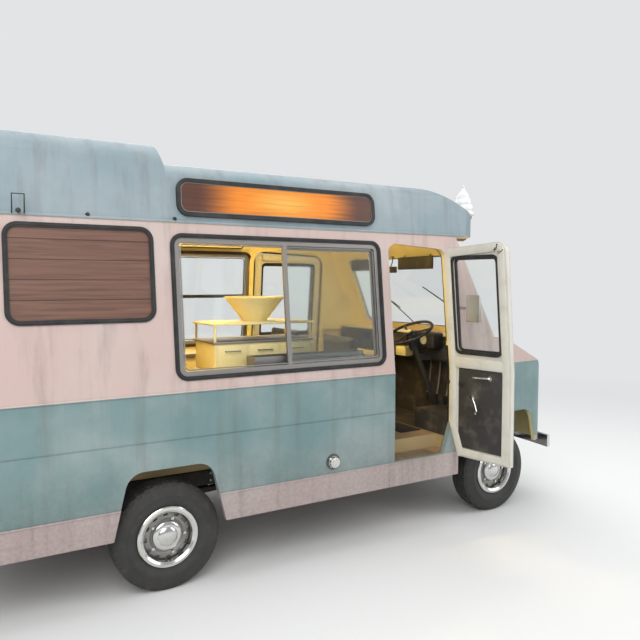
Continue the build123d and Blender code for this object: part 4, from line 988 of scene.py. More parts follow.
class VAN_OT_wheels(VanOperator):
    """Treaded tyres, pressed rims with bright rings, caps and nuts"""

    bl_idname = "van.wheels"
    bl_label = "Wheels"

    TYRE_STEPS = 72
    RIM_STEPS = 60
    NUTS = 5
    NUT_CIRCLE = 0.107

    def execute(self, context):
        for corner in CORNERS:
            out = -1 if corner.endswith("right") else 1
            x = WHEELBASE if corner.startswith("front") else 0.0
            centre = Vector((x, out * TRACK_HALF, TYRE_RADIUS))
            self.tyre(centre, out, corner)
            self.rim(centre, out, corner)
            self.bright(centre, out, corner)
        return {"FINISHED"}

    def around(self, face, centre, steps):
        """Where a wheel's face lies: its reach from the axle, its place along it and its step round it."""
        at = face.calc_center_median() - centre
        turn = round((atan2(at.z, at.x) / (2 * pi)) * steps - 0.5)
        return Vector((at.x, 0, at.z)).length, at.y, turn

    def tyre(self, centre, out, name):
        """A tyre with ribs, cross cuts and rings on its walls."""
        top = TYRE_RADIUS
        low = top - self.sizes.tread
        crown = [*TYRE_WALL]
        for edge in (0.060, 0.026):
            crown += [(edge - 0.006, top - 0.0003), (edge - 0.007, low)]
            crown += [(edge - 0.013, low), (edge - 0.014, top)]
        profile = crown + [(-along, height) for along, height in reversed(crown)]
        profile += [(-TYRE_HALF + 0.026, BEAD[1]), (TYRE_HALF - 0.026, BEAD[1])]
        bm = bmesh.new()
        turned(bm, [(out * along, height) for along, height in profile], centre, (0, 1, 0), self.TYRE_STEPS)
        bmesh.ops.recalc_face_normals(bm, faces=bm.faces)
        blocks = []
        for face in bm.faces:
            reach, wide, turn = self.around(face, centre, self.TYRE_STEPS)
            shoulder = reach > top - 0.011 and 0.052 < abs(wide) < TYRE_HALF - 0.012
            rib = reach > top - 0.004 and 0.014 < abs(wide) < 0.044
            if (shoulder and turn % 2 == 0) or (rib and turn % 3 == 0):
                blocks.append(face)
        bmesh.ops.inset_individual(bm, faces=blocks, thickness=0.004, use_even_offset=True)
        for face in blocks:
            at = face.calc_center_median() - centre
            inward = -Vector((at.x, 0, at.z)).normalized() * self.sizes.tread * 0.85
            bmesh.ops.translate(bm, vec=inward, verts=face.verts)
        piece(f"tyre_{name}_treaded", bm, "tyre", f"wheel_{name}", replaces=(f"tyre_{name}",), angle=30)

    def rim(self, centre, out, name):
        """A pressed rim with its slots."""
        disc = bmesh.new()
        turned(disc, [(out * a, r) for a, r in RIM_FACE + RIM_BACK], centre, (0, 1, 0), self.RIM_STEPS)
        bmesh.ops.recalc_face_normals(disc, faces=disc.faces)
        slots = []
        for face in disc.faces:
            reach, wide, turn = self.around(face, centre, self.RIM_STEPS)
            if 0.122 < reach < 0.142 and out * wide > 0.035 and turn % 5 in (0, 1):
                slots.append(face)
        bmesh.ops.inset_region(disc, faces=slots, thickness=0.004, use_even_offset=True)
        bmesh.ops.translate(disc, vec=(0, -out * 0.012, 0), verts=list({v for f in slots for v in f.verts}))
        node = f"rim_{name}"
        piece(f"{node}_pressed", disc, "steel", f"wheel_{name}", (node,), angle=30)

    def bright(self, centre, out, name):
        """A wheel's trim ring, hub cap, nuts and valve."""
        bright = bmesh.new()
        hoop(bright, [(out * a, r) for a, r in TRIM_RING], centre, (0, 1, 0), self.RIM_STEPS)
        turned(bright, [(out * a, r) for a, r in HUB_CAP], centre, (0, 1, 0), 48)
        across = Vector((0, out, 0))
        for index in range(self.NUTS):
            turn = index * 2 * pi / self.NUTS
            at = centre + Vector((cos(turn), 0, sin(turn))) * self.NUT_CIRCLE + across * 0.0425
            rod(bright, at, at + across * 0.016, 0.0105, 6, 0.0095)
            rod(bright, at + across * 0.014, at + across * 0.020, 0.006, 10)
        valve = centre + across * 0.040 - Vector((0, 0, 0.155))
        rod(bright, valve, valve + Vector((0, out * 0.03, 0.006)), 0.004, 8)
        piece(f"rim_{name}_trim", bright, "chrome", f"wheel_{name}")


DOOR_FOOT = 0.565
DOOR_CUT = (POST_X - 0.077, 0.790)
DOOR_HEADS = (2.125, 2.090)


def door_loop(bm, rear, gap, corner):
    """Outline of a cab door in the XZ plane of the right wall, as one flat face; gives its vertices."""
    before = set(bm.verts)
    points = (
        (rear + gap, DOOR_FOOT + gap),
        (DOOR_CUT[0] - gap, DOOR_FOOT + gap),
        (POST_X - gap, DOOR_CUT[1] + gap),
        (POST_X - gap, DOOR_HEADS[1] - gap),
        (rear + gap, DOOR_HEADS[0] - gap),
    )
    verts = [bm.verts.new((x, z, 0)) for x, z in points]
    bm.faces.new(verts)
    round_off(bm, verts[3:], corner - gap, 7, "VERTICES")
    return fresh(bm, before)


def wrap_door(verts):
    """Stands a flat door shape up on the right wall's inner face; its Z becomes the depth into the cab."""
    for vert in verts:
        x, z, inward = vert.co
        vert.co = (x, -wall_y(z) + WALL + TRIM_GAP + inward, z)


def door_band(bm, rear, gap, band, thick, edge, corner=0.07):
    """A band of a width and thickness that follows a door's outline on the inner face of the wall."""
    before = set(bm.verts)
    rim = band_of(bm, door_loop(bm, rear, gap, corner), band)
    cut = list({g for f in rim if f.is_valid for g in (f, *f.edges, *f.verts)})
    bmesh.ops.bisect_plane(bm, geom=cut, plane_co=(0, BELT_Z, 0), plane_no=(0, 1, 0))
    thicken(bm, list({f for v in fresh(bm, before) for f in v.link_faces}), thick, edge)
    wrap_door(fresh(bm, before))


class VAN_OT_doors(VanOperator):
    """Linings, window rubbers, handles and check strap of the cab doors, with the doorways' seals"""

    bl_idname = "van.doors"
    bl_label = "Cab doors"

    CARD_RIBS = (0.80, 0.96, 1.12)
    RUBBER_CORNER = 0.055
    STRAP_CUTS = 14

    def execute(self, context):
        for side, rear in (("right", RIGHT_DOOR_REAR), ("left", LEFT_DOOR_REAR)):
            turn = OPENED if side == "right" else MIRROR
            self.linings(f"door_{side}", rear, turn)
            self.handles(f"door_{side}", rear, turn)
            self.rubbers(f"door_{side}", rear, turn)
            self.doorway(side, rear)
        self.strap()
        return {"FINISHED"}

    def linings(self, body, rear, turn):
        """The moulded lining of one door and the dark card in it."""
        band = self.sizes.door_band
        low, high = rear + band - 0.002, POST_X - band + 0.002
        lining = bmesh.new()
        door_band(lining, rear, 0.017, band - 0.006, 0.014, 0.004)
        wrap_door(slab(lining, (low, 1.225, 0), (high, 1.300, 0.014), 0.005))
        piece(f"{body}_lining", lining, "lining", body, turn=turn)
        card = bmesh.new()
        slab(card, (low + 0.004, 0.640, 0), (high - 0.034, 1.222, 0.006), 0.003)
        for z in self.CARD_RIBS:
            slab(card, (low + 0.03, z - 0.004, 0.004), (high - 0.06, z + 0.004, 0.009), 0.002)
        wrap_door(card.verts)
        piece(f"{body}_card", card, "dash", body, turn=turn)

    def handles(self, body, rear, turn):
        """The inner handle, the window winder and the outer handle of one door."""
        fittings = bmesh.new()
        inner = Vector((rear + 0.17, -wall_y(1.0) + WALL, 1.17))
        lever = ((0, 0.008, 0), (0.02, 0.03, 0.002), (0.13, 0.032, -0.005))
        bar(fittings, [inner + Vector(step) for step in lever], 0.007, 3, True)
        rod(fittings, inner, inner + Vector((0, 0.016, 0)), 0.018, 16, edge=0.003)
        winder = Vector((POST_X - 0.22, inner.y, 1.02))
        rod(fittings, winder, winder + Vector((0, 0.02, 0)), 0.019, 16, edge=0.003)
        crank = ((0, 0.018, 0), (-0.03, 0.03, -0.04), (-0.05, 0.032, -0.10))
        bar(fittings, [winder + Vector(step) for step in crank], 0.006, 3)
        knob = winder + Vector((-0.05, 0.03, -0.10))
        rod(fittings, knob, knob + Vector((0, 0.028, 0)), 0.011, 12, edge=0.003)
        outer = Vector((rear, -wall_y(1.14), 1.14))
        slab(fittings, outer + Vector((0.05, -0.004, -0.025)), outer + Vector((0.19, 0.001, 0.025)), 0.002)
        pull = ((0.07, 0, 0), (0.09, -0.032, 0), (0.16, -0.032, 0), (0.18, 0, 0))
        bar(fittings, [outer + Vector(step) for step in pull], 0.009, 4, True)
        lock = outer + Vector((0.075, -0.004, -0.05))
        rod(fittings, lock, lock - Vector((0, 0.008, 0)), 0.011, 14, edge=0.002)
        piece(f"{body}_handles", fittings, "chrome", body, turn=turn)

    def rubbers(self, body, rear, turn):
        """The window rubbers of one door, on both faces and in its thickness."""
        rubbers = bmesh.new()
        window = (rear + 0.062, POST_X - 0.062, 1.330, 2.036)
        for out in (TRIM_GAP, -WALL * cos(LEAN) - 0.0075):
            width, height, place = on_wall(*window, out=out)
            ring(rubbers, width, height, self.RUBBER_CORNER, SEAL_BAND, 0.007, 0.0025, place)
        place = on_wall(*window, out=-0.024)[2]
        ring(rubbers, width - 0.042, height - 0.042, 0.034, 0.012, 0.024, 0.0, place)
        piece(f"{body}_rubbers", rubbers, "rubber", body, turn=turn)

    def doorway(self, side, rear):
        """The seal round one doorway, its jamb cover, sill plate and latch."""
        turn = None if side == "right" else MIRROR
        seal = bmesh.new()
        door_band(seal, rear, -0.014, 0.013, 0.012, 0.004)
        piece(f"doorway_{side}_seal", seal, "rubber", turn=turn)
        jamb = bmesh.new()
        door_band(jamb, rear, -0.058, 0.042, 0.022, 0.006, 0.1)
        piece(f"doorway_{side}_jamb", jamb, "cream", turn=turn)
        sill = bmesh.new()
        for index in range(4):
            y = -HALF_WIDTH + 0.056 + index * 0.034
            slab(sill, (rear + 0.03, y, 0.5612), (POST_X - 0.11, y + 0.014, 0.5650), 0.0015)
        slab(sill, (rear + 0.016, -0.985, 0.5612), (POST_X - 0.10, -0.955, 0.5640), 0.001)
        piece(f"doorway_{side}_tread", sill, "aluminium", turn=turn)
        latch = bmesh.new()
        y = -wall_y(1.05) + 0.022
        slab(latch, (rear + 0.0002, y - 0.014, 1.01), (rear + 0.003, y + 0.014, 1.09), 0.001)
        rod(latch, (rear + 0.003, y, 1.05), (rear + 0.0052, y, 1.05), 0.006, 12)
        piece(f"doorway_{side}_latch", latch, "steel", turn=turn)

    def strap(self):
        """The leather check strap between the right post and the open door."""
        start = Vector((POST_X - 0.002, -HALF_WIDTH + 0.046, 1.10))
        end = OPENED @ Vector((POST_X - 0.13, -HALF_WIDTH + WALL + 0.016, 1.10))
        along = end - start
        strap = bmesh.new()
        slab(strap, (0, -0.0025, -0.014), (along.length, 0.0025, 0.014), 0.002)
        long_edges = [e for e in strap.edges if e.calc_length() > along.length * 0.8]
        bmesh.ops.subdivide_edges(strap, edges=long_edges, cuts=self.STRAP_CUTS)
        turn = Matrix.Translation(start) @ along.to_track_quat("X", "Z").to_matrix().to_4x4()
        made = piece("check_strap", strap, "black", None, turn=turn)
        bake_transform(made)


class VAN_OT_trim(VanOperator):
    """Gutters, mouldings, roof fittings and the fuel cap's ring"""

    bl_idname = "van.trim"
    bl_label = "Body trim"

    TAIL_X = REAR_X + 0.09
    BRACKET = ((-0.03, 0, -0.06), (-0.03, -0.035, -0.05), (-0.03, -0.04, 0.04))
    CAP_SEAL = ((0.0002, 0.052), (0.006, 0.052), (0.010, 0.047), (0.0102, 0.040), (0.004, 0.039))
    CAP_SEAL += ((0.0002, 0.039),)
    CAP_RIM = ((0.032, 0.024), (0.035, 0.022), (0.0365, 0.012), (0.0365, 0.0))

    def execute(self, context):
        self.strips()
        self.roof_fittings()
        self.fuel_cap()
        return {"FINISHED"}

    def strips(self):
        """The gutters and the mouldings at belt and skirt, on both sides."""
        half = self.sizes.gutter / 2
        y = -wall_y(CANT_Z)
        gutters = bmesh.new()
        high = (POST_X + 0.20, y + 0.004, CANT_Z + half)
        slab(gutters, (self.TAIL_X, y - 0.009, CANT_Z - half), high, 0.004, 3)
        both_sides(gutters)
        piece("gutters", gutters, "roof")

        tall = self.sizes.moulding
        belts = bmesh.new()
        for turn, door_rear in ((Matrix(), RIGHT_DOOR_REAR), (MIRROR, LEFT_DOOR_REAR)):
            runs = bmesh.new()
            for rear, front in ((self.TAIL_X, door_rear), (POST_X + 0.04, POST_X + 0.36)):
                low = Vector((rear, -HALF_WIDTH - 0.006, BELT_Z - tall / 2))
                slab(runs, low, (front, -HALF_WIDTH + 0.004, BELT_Z + tall / 2), 0.004, 3)
            bmesh.ops.transform(runs, matrix=turn, verts=runs.verts)
            join(belts, runs)
        piece("belt_mouldings", belts, "side")

        outer = -HALF_WIDTH - 0.006
        skirts = bmesh.new()
        for rear, front in ((self.TAIL_X, -0.300), (0.300, WHEELBASE - 0.476)):
            low = (rear, outer - 0.005, SKIRT_Z - tall * 0.7)
            slab(skirts, low, (front, outer + 0.003, SKIRT_Z), 0.004, 3)
        both_sides(skirts)
        piece("skirt_mouldings", skirts, "skirt")

    def roof_fittings(self):
        """The bracket and the two buttons on the roof's right side."""
        fittings = bmesh.new()
        base = Vector((-0.77, -wall_y(2.26), 2.26))
        loop = [*self.BRACKET, *((-x, y, z) for x, y, z in reversed(self.BRACKET))]
        bar(fittings, [base + Vector(step) for step in loop], 0.0035, 3)
        hub = base - Vector((0, 0.035, 0.045))
        rod(fittings, hub, hub - Vector((0, 0.025, 0)), 0.014, 14, 0.011, 0.003)
        rod(fittings, hub + Vector((0, 0.035, 0)), hub, 0.006, 10)
        y, z = -wall_y(2.215), 2.215
        for x in (-0.42, 0.07):
            rod(fittings, (x, y + 0.002, z), (x, y - 0.016, z), 0.012, 14, 0.009, 0.003)
        piece("roof_bracket", fittings, "black")

    def fuel_cap(self):
        """The seal, the rim and the finger ribs of the fuel cap."""
        at = Vector((1.103, -HALF_WIDTH, 0.644))
        seal = bmesh.new()
        hoop(seal, self.CAP_SEAL, at, (0, -1, 0), 40)
        piece("fuel_cap_seal", seal, "rubber")
        grip = bmesh.new()
        for index in range(12):
            turn = index * pi / 6
            foot = at + Vector((cos(turn) * 0.034, -0.012, sin(turn) * 0.034))
            rod(grip, foot, foot - Vector((0, 0.018, 0)), 0.004, 8, edge=0.001)
        turned(grip, self.CAP_RIM, at, (0, -1, 0), 32)
        piece("fuel_cap_grip", grip, "chrome")


class VAN_OT_cones(VanOperator):
    """The two cone ornaments: a waffled wafer and a swirl with a curled tip"""

    bl_idname = "van.cones"
    bl_label = "Cones"

    WAFER = ((0.0, 0.0), (0.0, 0.030), (0.004, 0.033), (0.172, 0.068), (0.176, 0.074), (0.196, 0.076))
    WAFER += ((0.198, 0.070), (0.198, 0.0))
    SWIRL_FOOT = 0.190
    SWIRL_HEIGHT = 0.240
    SWIRL_RADIUS = 0.097
    SWIRL_TURNS = 4.2
    SWIRL_RINGS = 60
    GROOVE = 0.13
    LEAN_OUT = 0.010
    TIP = ((-0.012, 0.0), (-0.012, 0.0065), (0.010, 0.005), (0.030, 0.0))

    def execute(self, context):
        wafers = bmesh.new()
        swirls = bmesh.new()
        for y in (-CONE.y, CONE.y):
            foot = Vector((CONE.x, y, CONE.z))
            turned(wafers, self.WAFER, foot, (0, 0, 1), 40)
            slab(wafers, foot + Vector((-0.09, -0.018, -0.010)), foot + Vector((0.01, 0.018, 0.003)), 0.003)
            swirl = self.swirl()
            bmesh.ops.translate(swirl, vec=foot + Vector((0, 0, self.SWIRL_FOOT)), verts=swirl.verts)
            join(swirls, swirl)
        piece("cone_wafers", wafers, "wafer", replaces=("cones",))
        piece("cone_swirls", swirls, "swirl", angle=70)
        return {"FINISHED"}

    def swirl(self):
        """A soft swirl: a turned body with one rising groove wound round it and a curled tip."""
        height = self.SWIRL_HEIGHT
        profile = [(0.0, 0.0)]
        for index in range(self.SWIRL_RINGS):
            t = index / (self.SWIRL_RINGS - 1)
            out = self.SWIRL_RADIUS * (1 - t**1.7) ** 0.8 * min(1, 0.75 + 4 * t)
            profile.append((height * t, max(out, 0.0035)))
        bm = bmesh.new()
        turned(bm, profile, (0, 0, 0), (0, 0, 1))
        for vert in bm.verts:
            if vert.co.xy.length < 0.003:
                continue
            t = vert.co.z / height
            wave = (t * self.SWIRL_TURNS - atan2(vert.co.y, vert.co.x) / (2 * pi)) % 1
            groove = 1 - self.GROOVE * (1 - sin(pi * wave) ** 0.7)
            vert.co = (vert.co.x * groove + self.LEAN_OUT * t**3, vert.co.y * groove, vert.co.z)
        turned(bm, self.TIP, (self.LEAN_OUT, 0, height), (-0.3, 0, 1), 16)
        return bm


COLUMN_TILT = radians(25)
COLUMN_AXIS = Vector((-sin(COLUMN_TILT), 0, cos(COLUMN_TILT)))
WHEEL_CENTRE = Vector((POST_X + 0.05, 0.58 - HALF_WIDTH, 1.43))
BINNACLE_X = 2.300
DASH_X = 2.4195
CAB_FLOOR_Z = 0.660
DIALS = ((-0.52, 2.2), (-0.38, 0.9))
DIAL_Z = 1.372
PEDALS = (-0.57, -0.45, -0.33)


class VAN_OT_cab(VanOperator):
    """Steering wheel, column, binnacle, pedals, levers, mats and interior mirror"""

    bl_idname = "van.cab"
    bl_label = "Cab"

    GRIP = 0.0115
    RIM_RADIUS = 0.2
    HUB = ((-0.017, 0), (-0.017, 0.036), (0.006, 0.036), (0.012, 0.030), (0.012, 0))
    HORN = ((0.0121, 0), (0.0121, 0.027), (0.018, 0.025), (0.021, 0.018), (0.0215, 0))
    COWL = ((-0.020, 0.0), (-0.020, 0.040), (-0.045, 0.046), (-0.150, 0.040), (-0.160, 0.026), (-0.160, 0.0))
    GAITER = ((0.0, 0.052), (0.010, 0.050), (0.024, 0.030), (0.030, 0.028), (0.055, 0.012))
    MATS = ((-0.66, -0.20), (0.02, 0.52))

    def execute(self, context):
        self.steering_wheel()
        self.dashboard()
        self.dials()
        self.controls()
        self.mirror()
        return {"FINISHED"}

    def steering_wheel(self):
        """The rim with its grip, three spokes, the hub and the horn push."""
        centre, axis = WHEEL_CENTRE, COLUMN_AXIS
        aft = Vector((-cos(COLUMN_TILT), 0, -sin(COLUMN_TILT)))
        turns = [2 * pi * k / 14 for k in range(15)]
        wheel = bmesh.new()
        rim = [(self.GRIP * sin(a), self.RIM_RADIUS + self.GRIP * cos(a)) for a in turns]
        turned(wheel, rim, centre, axis, 64)
        turned(wheel, self.HUB, centre, axis, 32)
        for index in range(3):
            turn = pi / 2 + index * 2 * pi / 3
            out = Vector((0, 1, 0)) * cos(turn) + aft * sin(turn)
            spoke = [centre + out * 0.026, centre + out * 0.09 - axis * 0.012, centre + out * 0.196]
            bar(wheel, spoke, 0.0075, 3, True)
            bar(wheel, [centre + out * 0.150 - axis * 0.009, centre + out * 0.199], 0.0105)
        piece("steering_wheel_grip", wheel, "black", "steering_wheel", ("steering_wheel",))
        horn = bmesh.new()
        turned(horn, self.HORN, centre, axis, 32)
        piece("horn_push", horn, "cream", "steering_wheel")

    def dashboard(self):
        """The column's cowl and stalk, the binnacle, the vents and the shelves."""
        fittings = bmesh.new()
        turned(fittings, self.COWL, WHEEL_CENTRE, COLUMN_AXIS, 28)
        start = WHEEL_CENTRE - COLUMN_AXIS * 0.07
        stalk = ((0.04, 0), (0.12, 0.02), (0.17, 0.03))
        bar(fittings, [start + Vector((0, out, 0)) + COLUMN_AXIS * rise for out, rise in stalk], 0.005)
        slab(fittings, (BINNACLE_X, -0.63, 1.300), (2.424, -0.27, 1.432), 0.018, 3)
        for y in (-0.95, 0.42):
            slab(fittings, (2.404, y, 1.30), (DASH_X, y + 0.20, 1.37), 0.006)
            for index in range(1, 5):
                z = 1.30 + index * 0.014
                slab(fittings, (2.399, y + 0.012, z - 0.003), (2.406, y + 0.188, z + 0.003), 0.0015)
        piece("binnacle_and_vents", fittings, "black")
        shelf = bmesh.new()
        slab(shelf, (2.408, -0.948, 1.3985), (2.600, 0.948, 1.4120), 0.006)
        slab(shelf, (BINNACLE_X, 0.02, 1.165), (DASH_X, 0.93, 1.178), 0.004)
        slab(shelf, (BINNACLE_X, 0.02, 1.178), (BINNACLE_X + 0.012, 0.93, 1.215), 0.004)
        slab(shelf, (2.330, -0.10, 1.205), (DASH_X, -0.24, 1.285), 0.008)
        piece("dash_shelf", shelf, "cream")

    def dials(self):
        """Bezels, knobs and the hand brake's rod, the dials' faces and their hands and marks."""
        bright = bmesh.new()
        for y, z, radius in ((-0.52, DIAL_Z, 0.044), (-0.38, DIAL_Z, 0.044), (-0.45, 1.325, 0.020)):
            inner = radius - 0.006
            bezel = ((0.0, radius), (0.006, radius), (0.007, radius - 0.004), (0.002, inner), (0.0, inner))
            hoop(bright, bezel, (BINNACLE_X, y, z), (-1, 0, 0), 32)
        knobs = [(BINNACLE_X - 0.0015, y, 1.316) for y in (-0.60, -0.525, -0.45)]
        for knob in (*knobs, (DASH_X, 0.06, 1.33), (DASH_X, 0.12, 1.33)):
            rod(bright, knob, Vector(knob) - Vector((0.018, 0, 0)), 0.006, 12, 0.008, 0.001)
        rod(bright, (1.985, 0.0, 0.70), (1.86, 0.0, 0.86), 0.008)
        piece("bezels_and_knobs", bright, "chrome")

        faces = bmesh.new()
        hands = bmesh.new()
        for y, turn in DIALS:
            rod(faces, (2.2998, y, DIAL_Z), (2.2985, y, DIAL_Z), 0.0385, 32)
            tip = Vector((2.2975, y + cos(turn) * 0.030, DIAL_Z + sin(turn) * 0.030))
            rod(hands, (2.2975, y, DIAL_Z), tip, 0.0016, 8, 0.0006)
            for index in range(9):
                mark = radians(210 - index * 30)
                out = Vector((0, cos(mark), sin(mark)))
                inner = Vector((2.2982, y, DIAL_Z)) + out * 0.030
                rod(hands, inner, inner + out * 0.006, 0.0007, 6)
        piece("dial_faces", faces, "plate")
        piece("dial_hands", hands, "black")

    def controls(self):
        """Gear lever, pedals and hand brake with their rubbers, and the mats."""
        levers = bmesh.new()
        rubbers = bmesh.new()
        bar(levers, [(2.26, -0.12, 0.665), (2.24, -0.12, 0.84), (2.14, -0.13, 1.02)], 0.008, 3, True)
        bar(levers, [(2.02, 0.0, 0.661), (1.985, 0.0, 0.70), (1.91, 0.0, 0.79)], 0.009)
        for y in PEDALS:
            bar(levers, [(2.545, y, 1.178), (2.535, y, 0.98), (2.500, y, 0.86)], 0.007, 3, True)
            wide = 0.022 if y < -0.34 else 0.018
            slab(rubbers, (2.484, y - wide, 0.815), (2.500, y + wide, 0.895), 0.005)
            wide -= 0.004
            for index in range(5):
                z = 0.827 + index * 0.014
                slab(rubbers, (2.480, y - wide, z - 0.003), (2.486, y + wide, z + 0.003), 0.0015)
        piece("levers", levers, "steel")
        rod(rubbers, (2.14, -0.13, 1.015), (2.125, -0.132, 1.055), 0.016, 16, 0.020, 0.008)
        rod(rubbers, (1.93, 0.0, 0.77), (1.855, 0.0, 0.865), 0.012, 14, 0.013, 0.004)
        turned(rubbers, self.GAITER, (2.262, -0.12, CAB_FLOOR_Z + 0.0005), (0, 0, 1), 28)
        for low, high in self.MATS:
            slab(rubbers, (1.96, low, CAB_FLOOR_Z + 0.0002), (2.16, high, CAB_FLOOR_Z + 0.008), 0.003)
            for index in range(9):
                y = low + 0.03 + index * (high - low - 0.06) / 8
                slab(rubbers, (1.98, y - 0.006, 0.667), (2.14, y + 0.006, 0.6705), 0.0015)
        piece("pedal_pads_and_mats", rubbers, "rubber")

    def mirror(self):
        """The interior mirror on its stem, and the two sun visors."""
        mirror = bmesh.new()
        slab(mirror, (2.330, -0.095, 1.930), (2.346, 0.095, 1.985), 0.007, 3)
        bar(mirror, [(2.340, 0.0, 1.975), (2.362, 0.0, 2.02), (2.372, 0.0, 2.075)], 0.005)
        rod(mirror, (2.372, 0.0, 2.068), (2.372, 0.0, 2.0765), 0.018, 16)
        for y in (-0.60, 0.14):
            slab(mirror, (2.315, y, 1.955), (2.329, y + 0.46, 2.060), 0.006, 3)
            rod(mirror, (2.332, y + 0.02, 2.058), (2.332, y + 0.44, 2.058), 0.005, 10)
            for end in (y + 0.06, y + 0.40):
                bar(mirror, [(2.332, end, 2.058), (2.352, end, 2.078)], 0.004, 2)
        piece("mirror_and_visors", mirror, "dash")


PAD_INSET = 0.012
PAD_GAP = 0.006
PAD_CAP = 0.014
VOXEL = 0.0075
CLOTH_FRAMES = 20
BORDER = 0.80
CHANNELS = 3.0
SEAM_HALF = 0.007
SEAM_DEPTH = 0.009
PIPING_RADIUS = 0.0038
PIPING_POINTS = 96


class VAN_OT_seats(VanOperator):
    """The cab seats' cushions: pads swollen by a cloth simulation, with sewn channels and piping"""

    bl_idname = "van.seats"
    bl_label = "Seats"

    def execute(self, context):
        front = POST_X - 0.25
        rear = POST_X - 0.70
        for side, sign in (("right", -1), ("left", 1)):
            inner, outer = sorted((sign * 0.23, sign * (HALF_WIDTH - 0.34)))
            seat = (Vector((rear + 0.105, inner, 0.8803)), Vector((front, outer, 0.99)))
            back = (Vector((rear + 0.0203, inner, 0.895)), Vector((rear + 0.100, outer, 1.44)))
            made = self.pad(f"seat_cushion_{side}", *seat, 2)
            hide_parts("seat_cushions")
            self.pad(f"backrest_{side}", *back, 0)
        return {"FINISHED"}

    def pad(self, name, low, high, axis):
        """A pad whose face is across an axis: a shrunk block that swells, then its seams and its piping."""
        inset = Vector((PAD_INSET, PAD_INSET, PAD_INSET))
        bm = bmesh.new()
        slab(bm, low + inset, high - inset, 2 * PAD_INSET, 4)
        made = piece(name, bm, "leather", angle=80)
        self.swell(made)
        self.fill(made, low, high)
        self.sew(made, low, high, axis)
        smooth = made.modifiers.new("smooth", "SUBSURF")
        smooth.levels = smooth.render_levels = 1
        self.piping(made, low, high, axis)
        return made

    def swell(self, made):
        """Remeshes a pad and inflates it as cloth, with each point's move capped."""
        remesh = made.modifiers.new("remesh", "REMESH")
        remesh.mode = "VOXEL"
        remesh.voxel_size = VOXEL
        self.bake(made)
        start = [vert.co.copy() for vert in made.data.vertices]
        cloth = made.modifiers.new("swell", "CLOTH")
        cloth.settings.use_pressure = True
        cloth.settings.uniform_pressure_force = 4.0
        cloth.settings.effector_weights.gravity = 0
        cloth.point_cache.frame_start = 1
        cloth.point_cache.frame_end = CLOTH_FRAMES
        for frame_number in range(1, CLOTH_FRAMES + 1):
            bpy.context.scene.frame_set(frame_number)
        self.bake(made)
        bpy.context.scene.frame_set(1)
        for vert, old in zip(made.data.vertices, start):
            move = vert.co - old
            if move.length > PAD_CAP:
                vert.co = old + move * (PAD_CAP / move.length)

    def fill(self, made, low, high):
        """Stretches a pad to the room that its solid holds, less a gap."""
        verts = made.data.vertices
        for axis, shift in enumerate(ORIGIN):
            least = min(vert.co[axis] for vert in verts)
            most = max(vert.co[axis] for vert in verts)
            stretch = (high[axis] - low[axis] - 2 * PAD_GAP) / (most - least)
            for vert in verts:
                vert.co[axis] = low[axis] + shift + PAD_GAP + (vert.co[axis] - least) * stretch

    def bake(self, made):
        """Applies a piece's modifiers to its mesh."""
        ready = made.evaluated_get(bpy.context.evaluated_depsgraph_get())
        mesh = bpy.data.meshes.new_from_object(ready)
        made.modifiers.clear()
        made.data = mesh
        mesh.polygons.foreach_set("use_smooth", [True] * len(mesh.polygons))

    def sew(self, made, low, high, axis):
        """Presses the sewn channels and the seam of the border into a pad's face."""
        half = (high - low) / 2
        centre = (high + low) / 2 + ORIGIN
        others = [a for a in range(3) if a != axis]
        across = others[1] if axis == 2 else others[0]
        for vert in made.data.vertices:
            unit = [(vert.co[a] - centre[a]) / half[a] for a in range(3)]
            if unit[axis] < 0.2:
                continue
            reach = max(abs(unit[a]) for a in others)
            seam = max(0, 1 - abs(reach - BORDER) * half[across] / SEAM_HALF)
            line = abs((unit[across] * CHANNELS + 0.5) % 1 - 0.5) * half[across] / CHANNELS
            channel = max(0, 1 - line / SEAM_HALF) if reach < BORDER else 0
            vert.co[axis] -= SEAM_DEPTH * max(seam, channel)

    def piping(self, made, low, high, axis):
        """A rolled edge sewn round a pad, near its face."""
        faces = [face.vertices for face in made.data.polygons]
        tree = BVHTree.FromPolygons([vert.co for vert in made.data.vertices], faces)
        half = (high - low) / 2
        centre = (high + low) / 2 + ORIGIN
        centre[axis] += 0.45 * half[axis]
        first, second = [a for a in range(3) if a != axis]
        points = []
        for step in range(PIPING_POINTS):
            angle = 2 * pi * step / PIPING_POINTS
            outward = Vector((0, 0, 0))
            outward[first] = half[first] * cos(angle)
            outward[second] = half[second] * sin(angle)
            hit = tree.ray_cast(centre + outward * 2, -outward.normalized())[0]
            if hit is not None:
                points.append(hit - ORIGIN)
        roll = bmesh.new()
        bar(roll, [*points, points[0]], PIPING_RADIUS, 2)
        piece(f"{made.name}_piping", roll, "rubber")


DRAWERS = (0.375, 0.605, 0.835)
CUPBOARDS = ((0.448, 0.30), (0.768, 0.30), (1.088, 0.285))
CONTAINER = ((0.0, 0.0), (0.0, 0.082), (0.006, 0.086), (0.152, 0.196), (0.158, 0.206), (0.168, 0.206))
CONTAINER += ((0.168, 0.194), (0.020, 0.086), (0.014, 0.0))
# Each ceiling lamp's middle and half length, and then the heights of its diffuser and of its tray
LAMPS = (
    (0.42, 0.28, (2.505, 2.535), (2.530, 2.549)),
    (1.22, 0.28, (2.505, 2.535), (2.530, 2.549)),
    (-0.57, 0.25, (2.585, 2.612), (2.608, 2.640)),
)


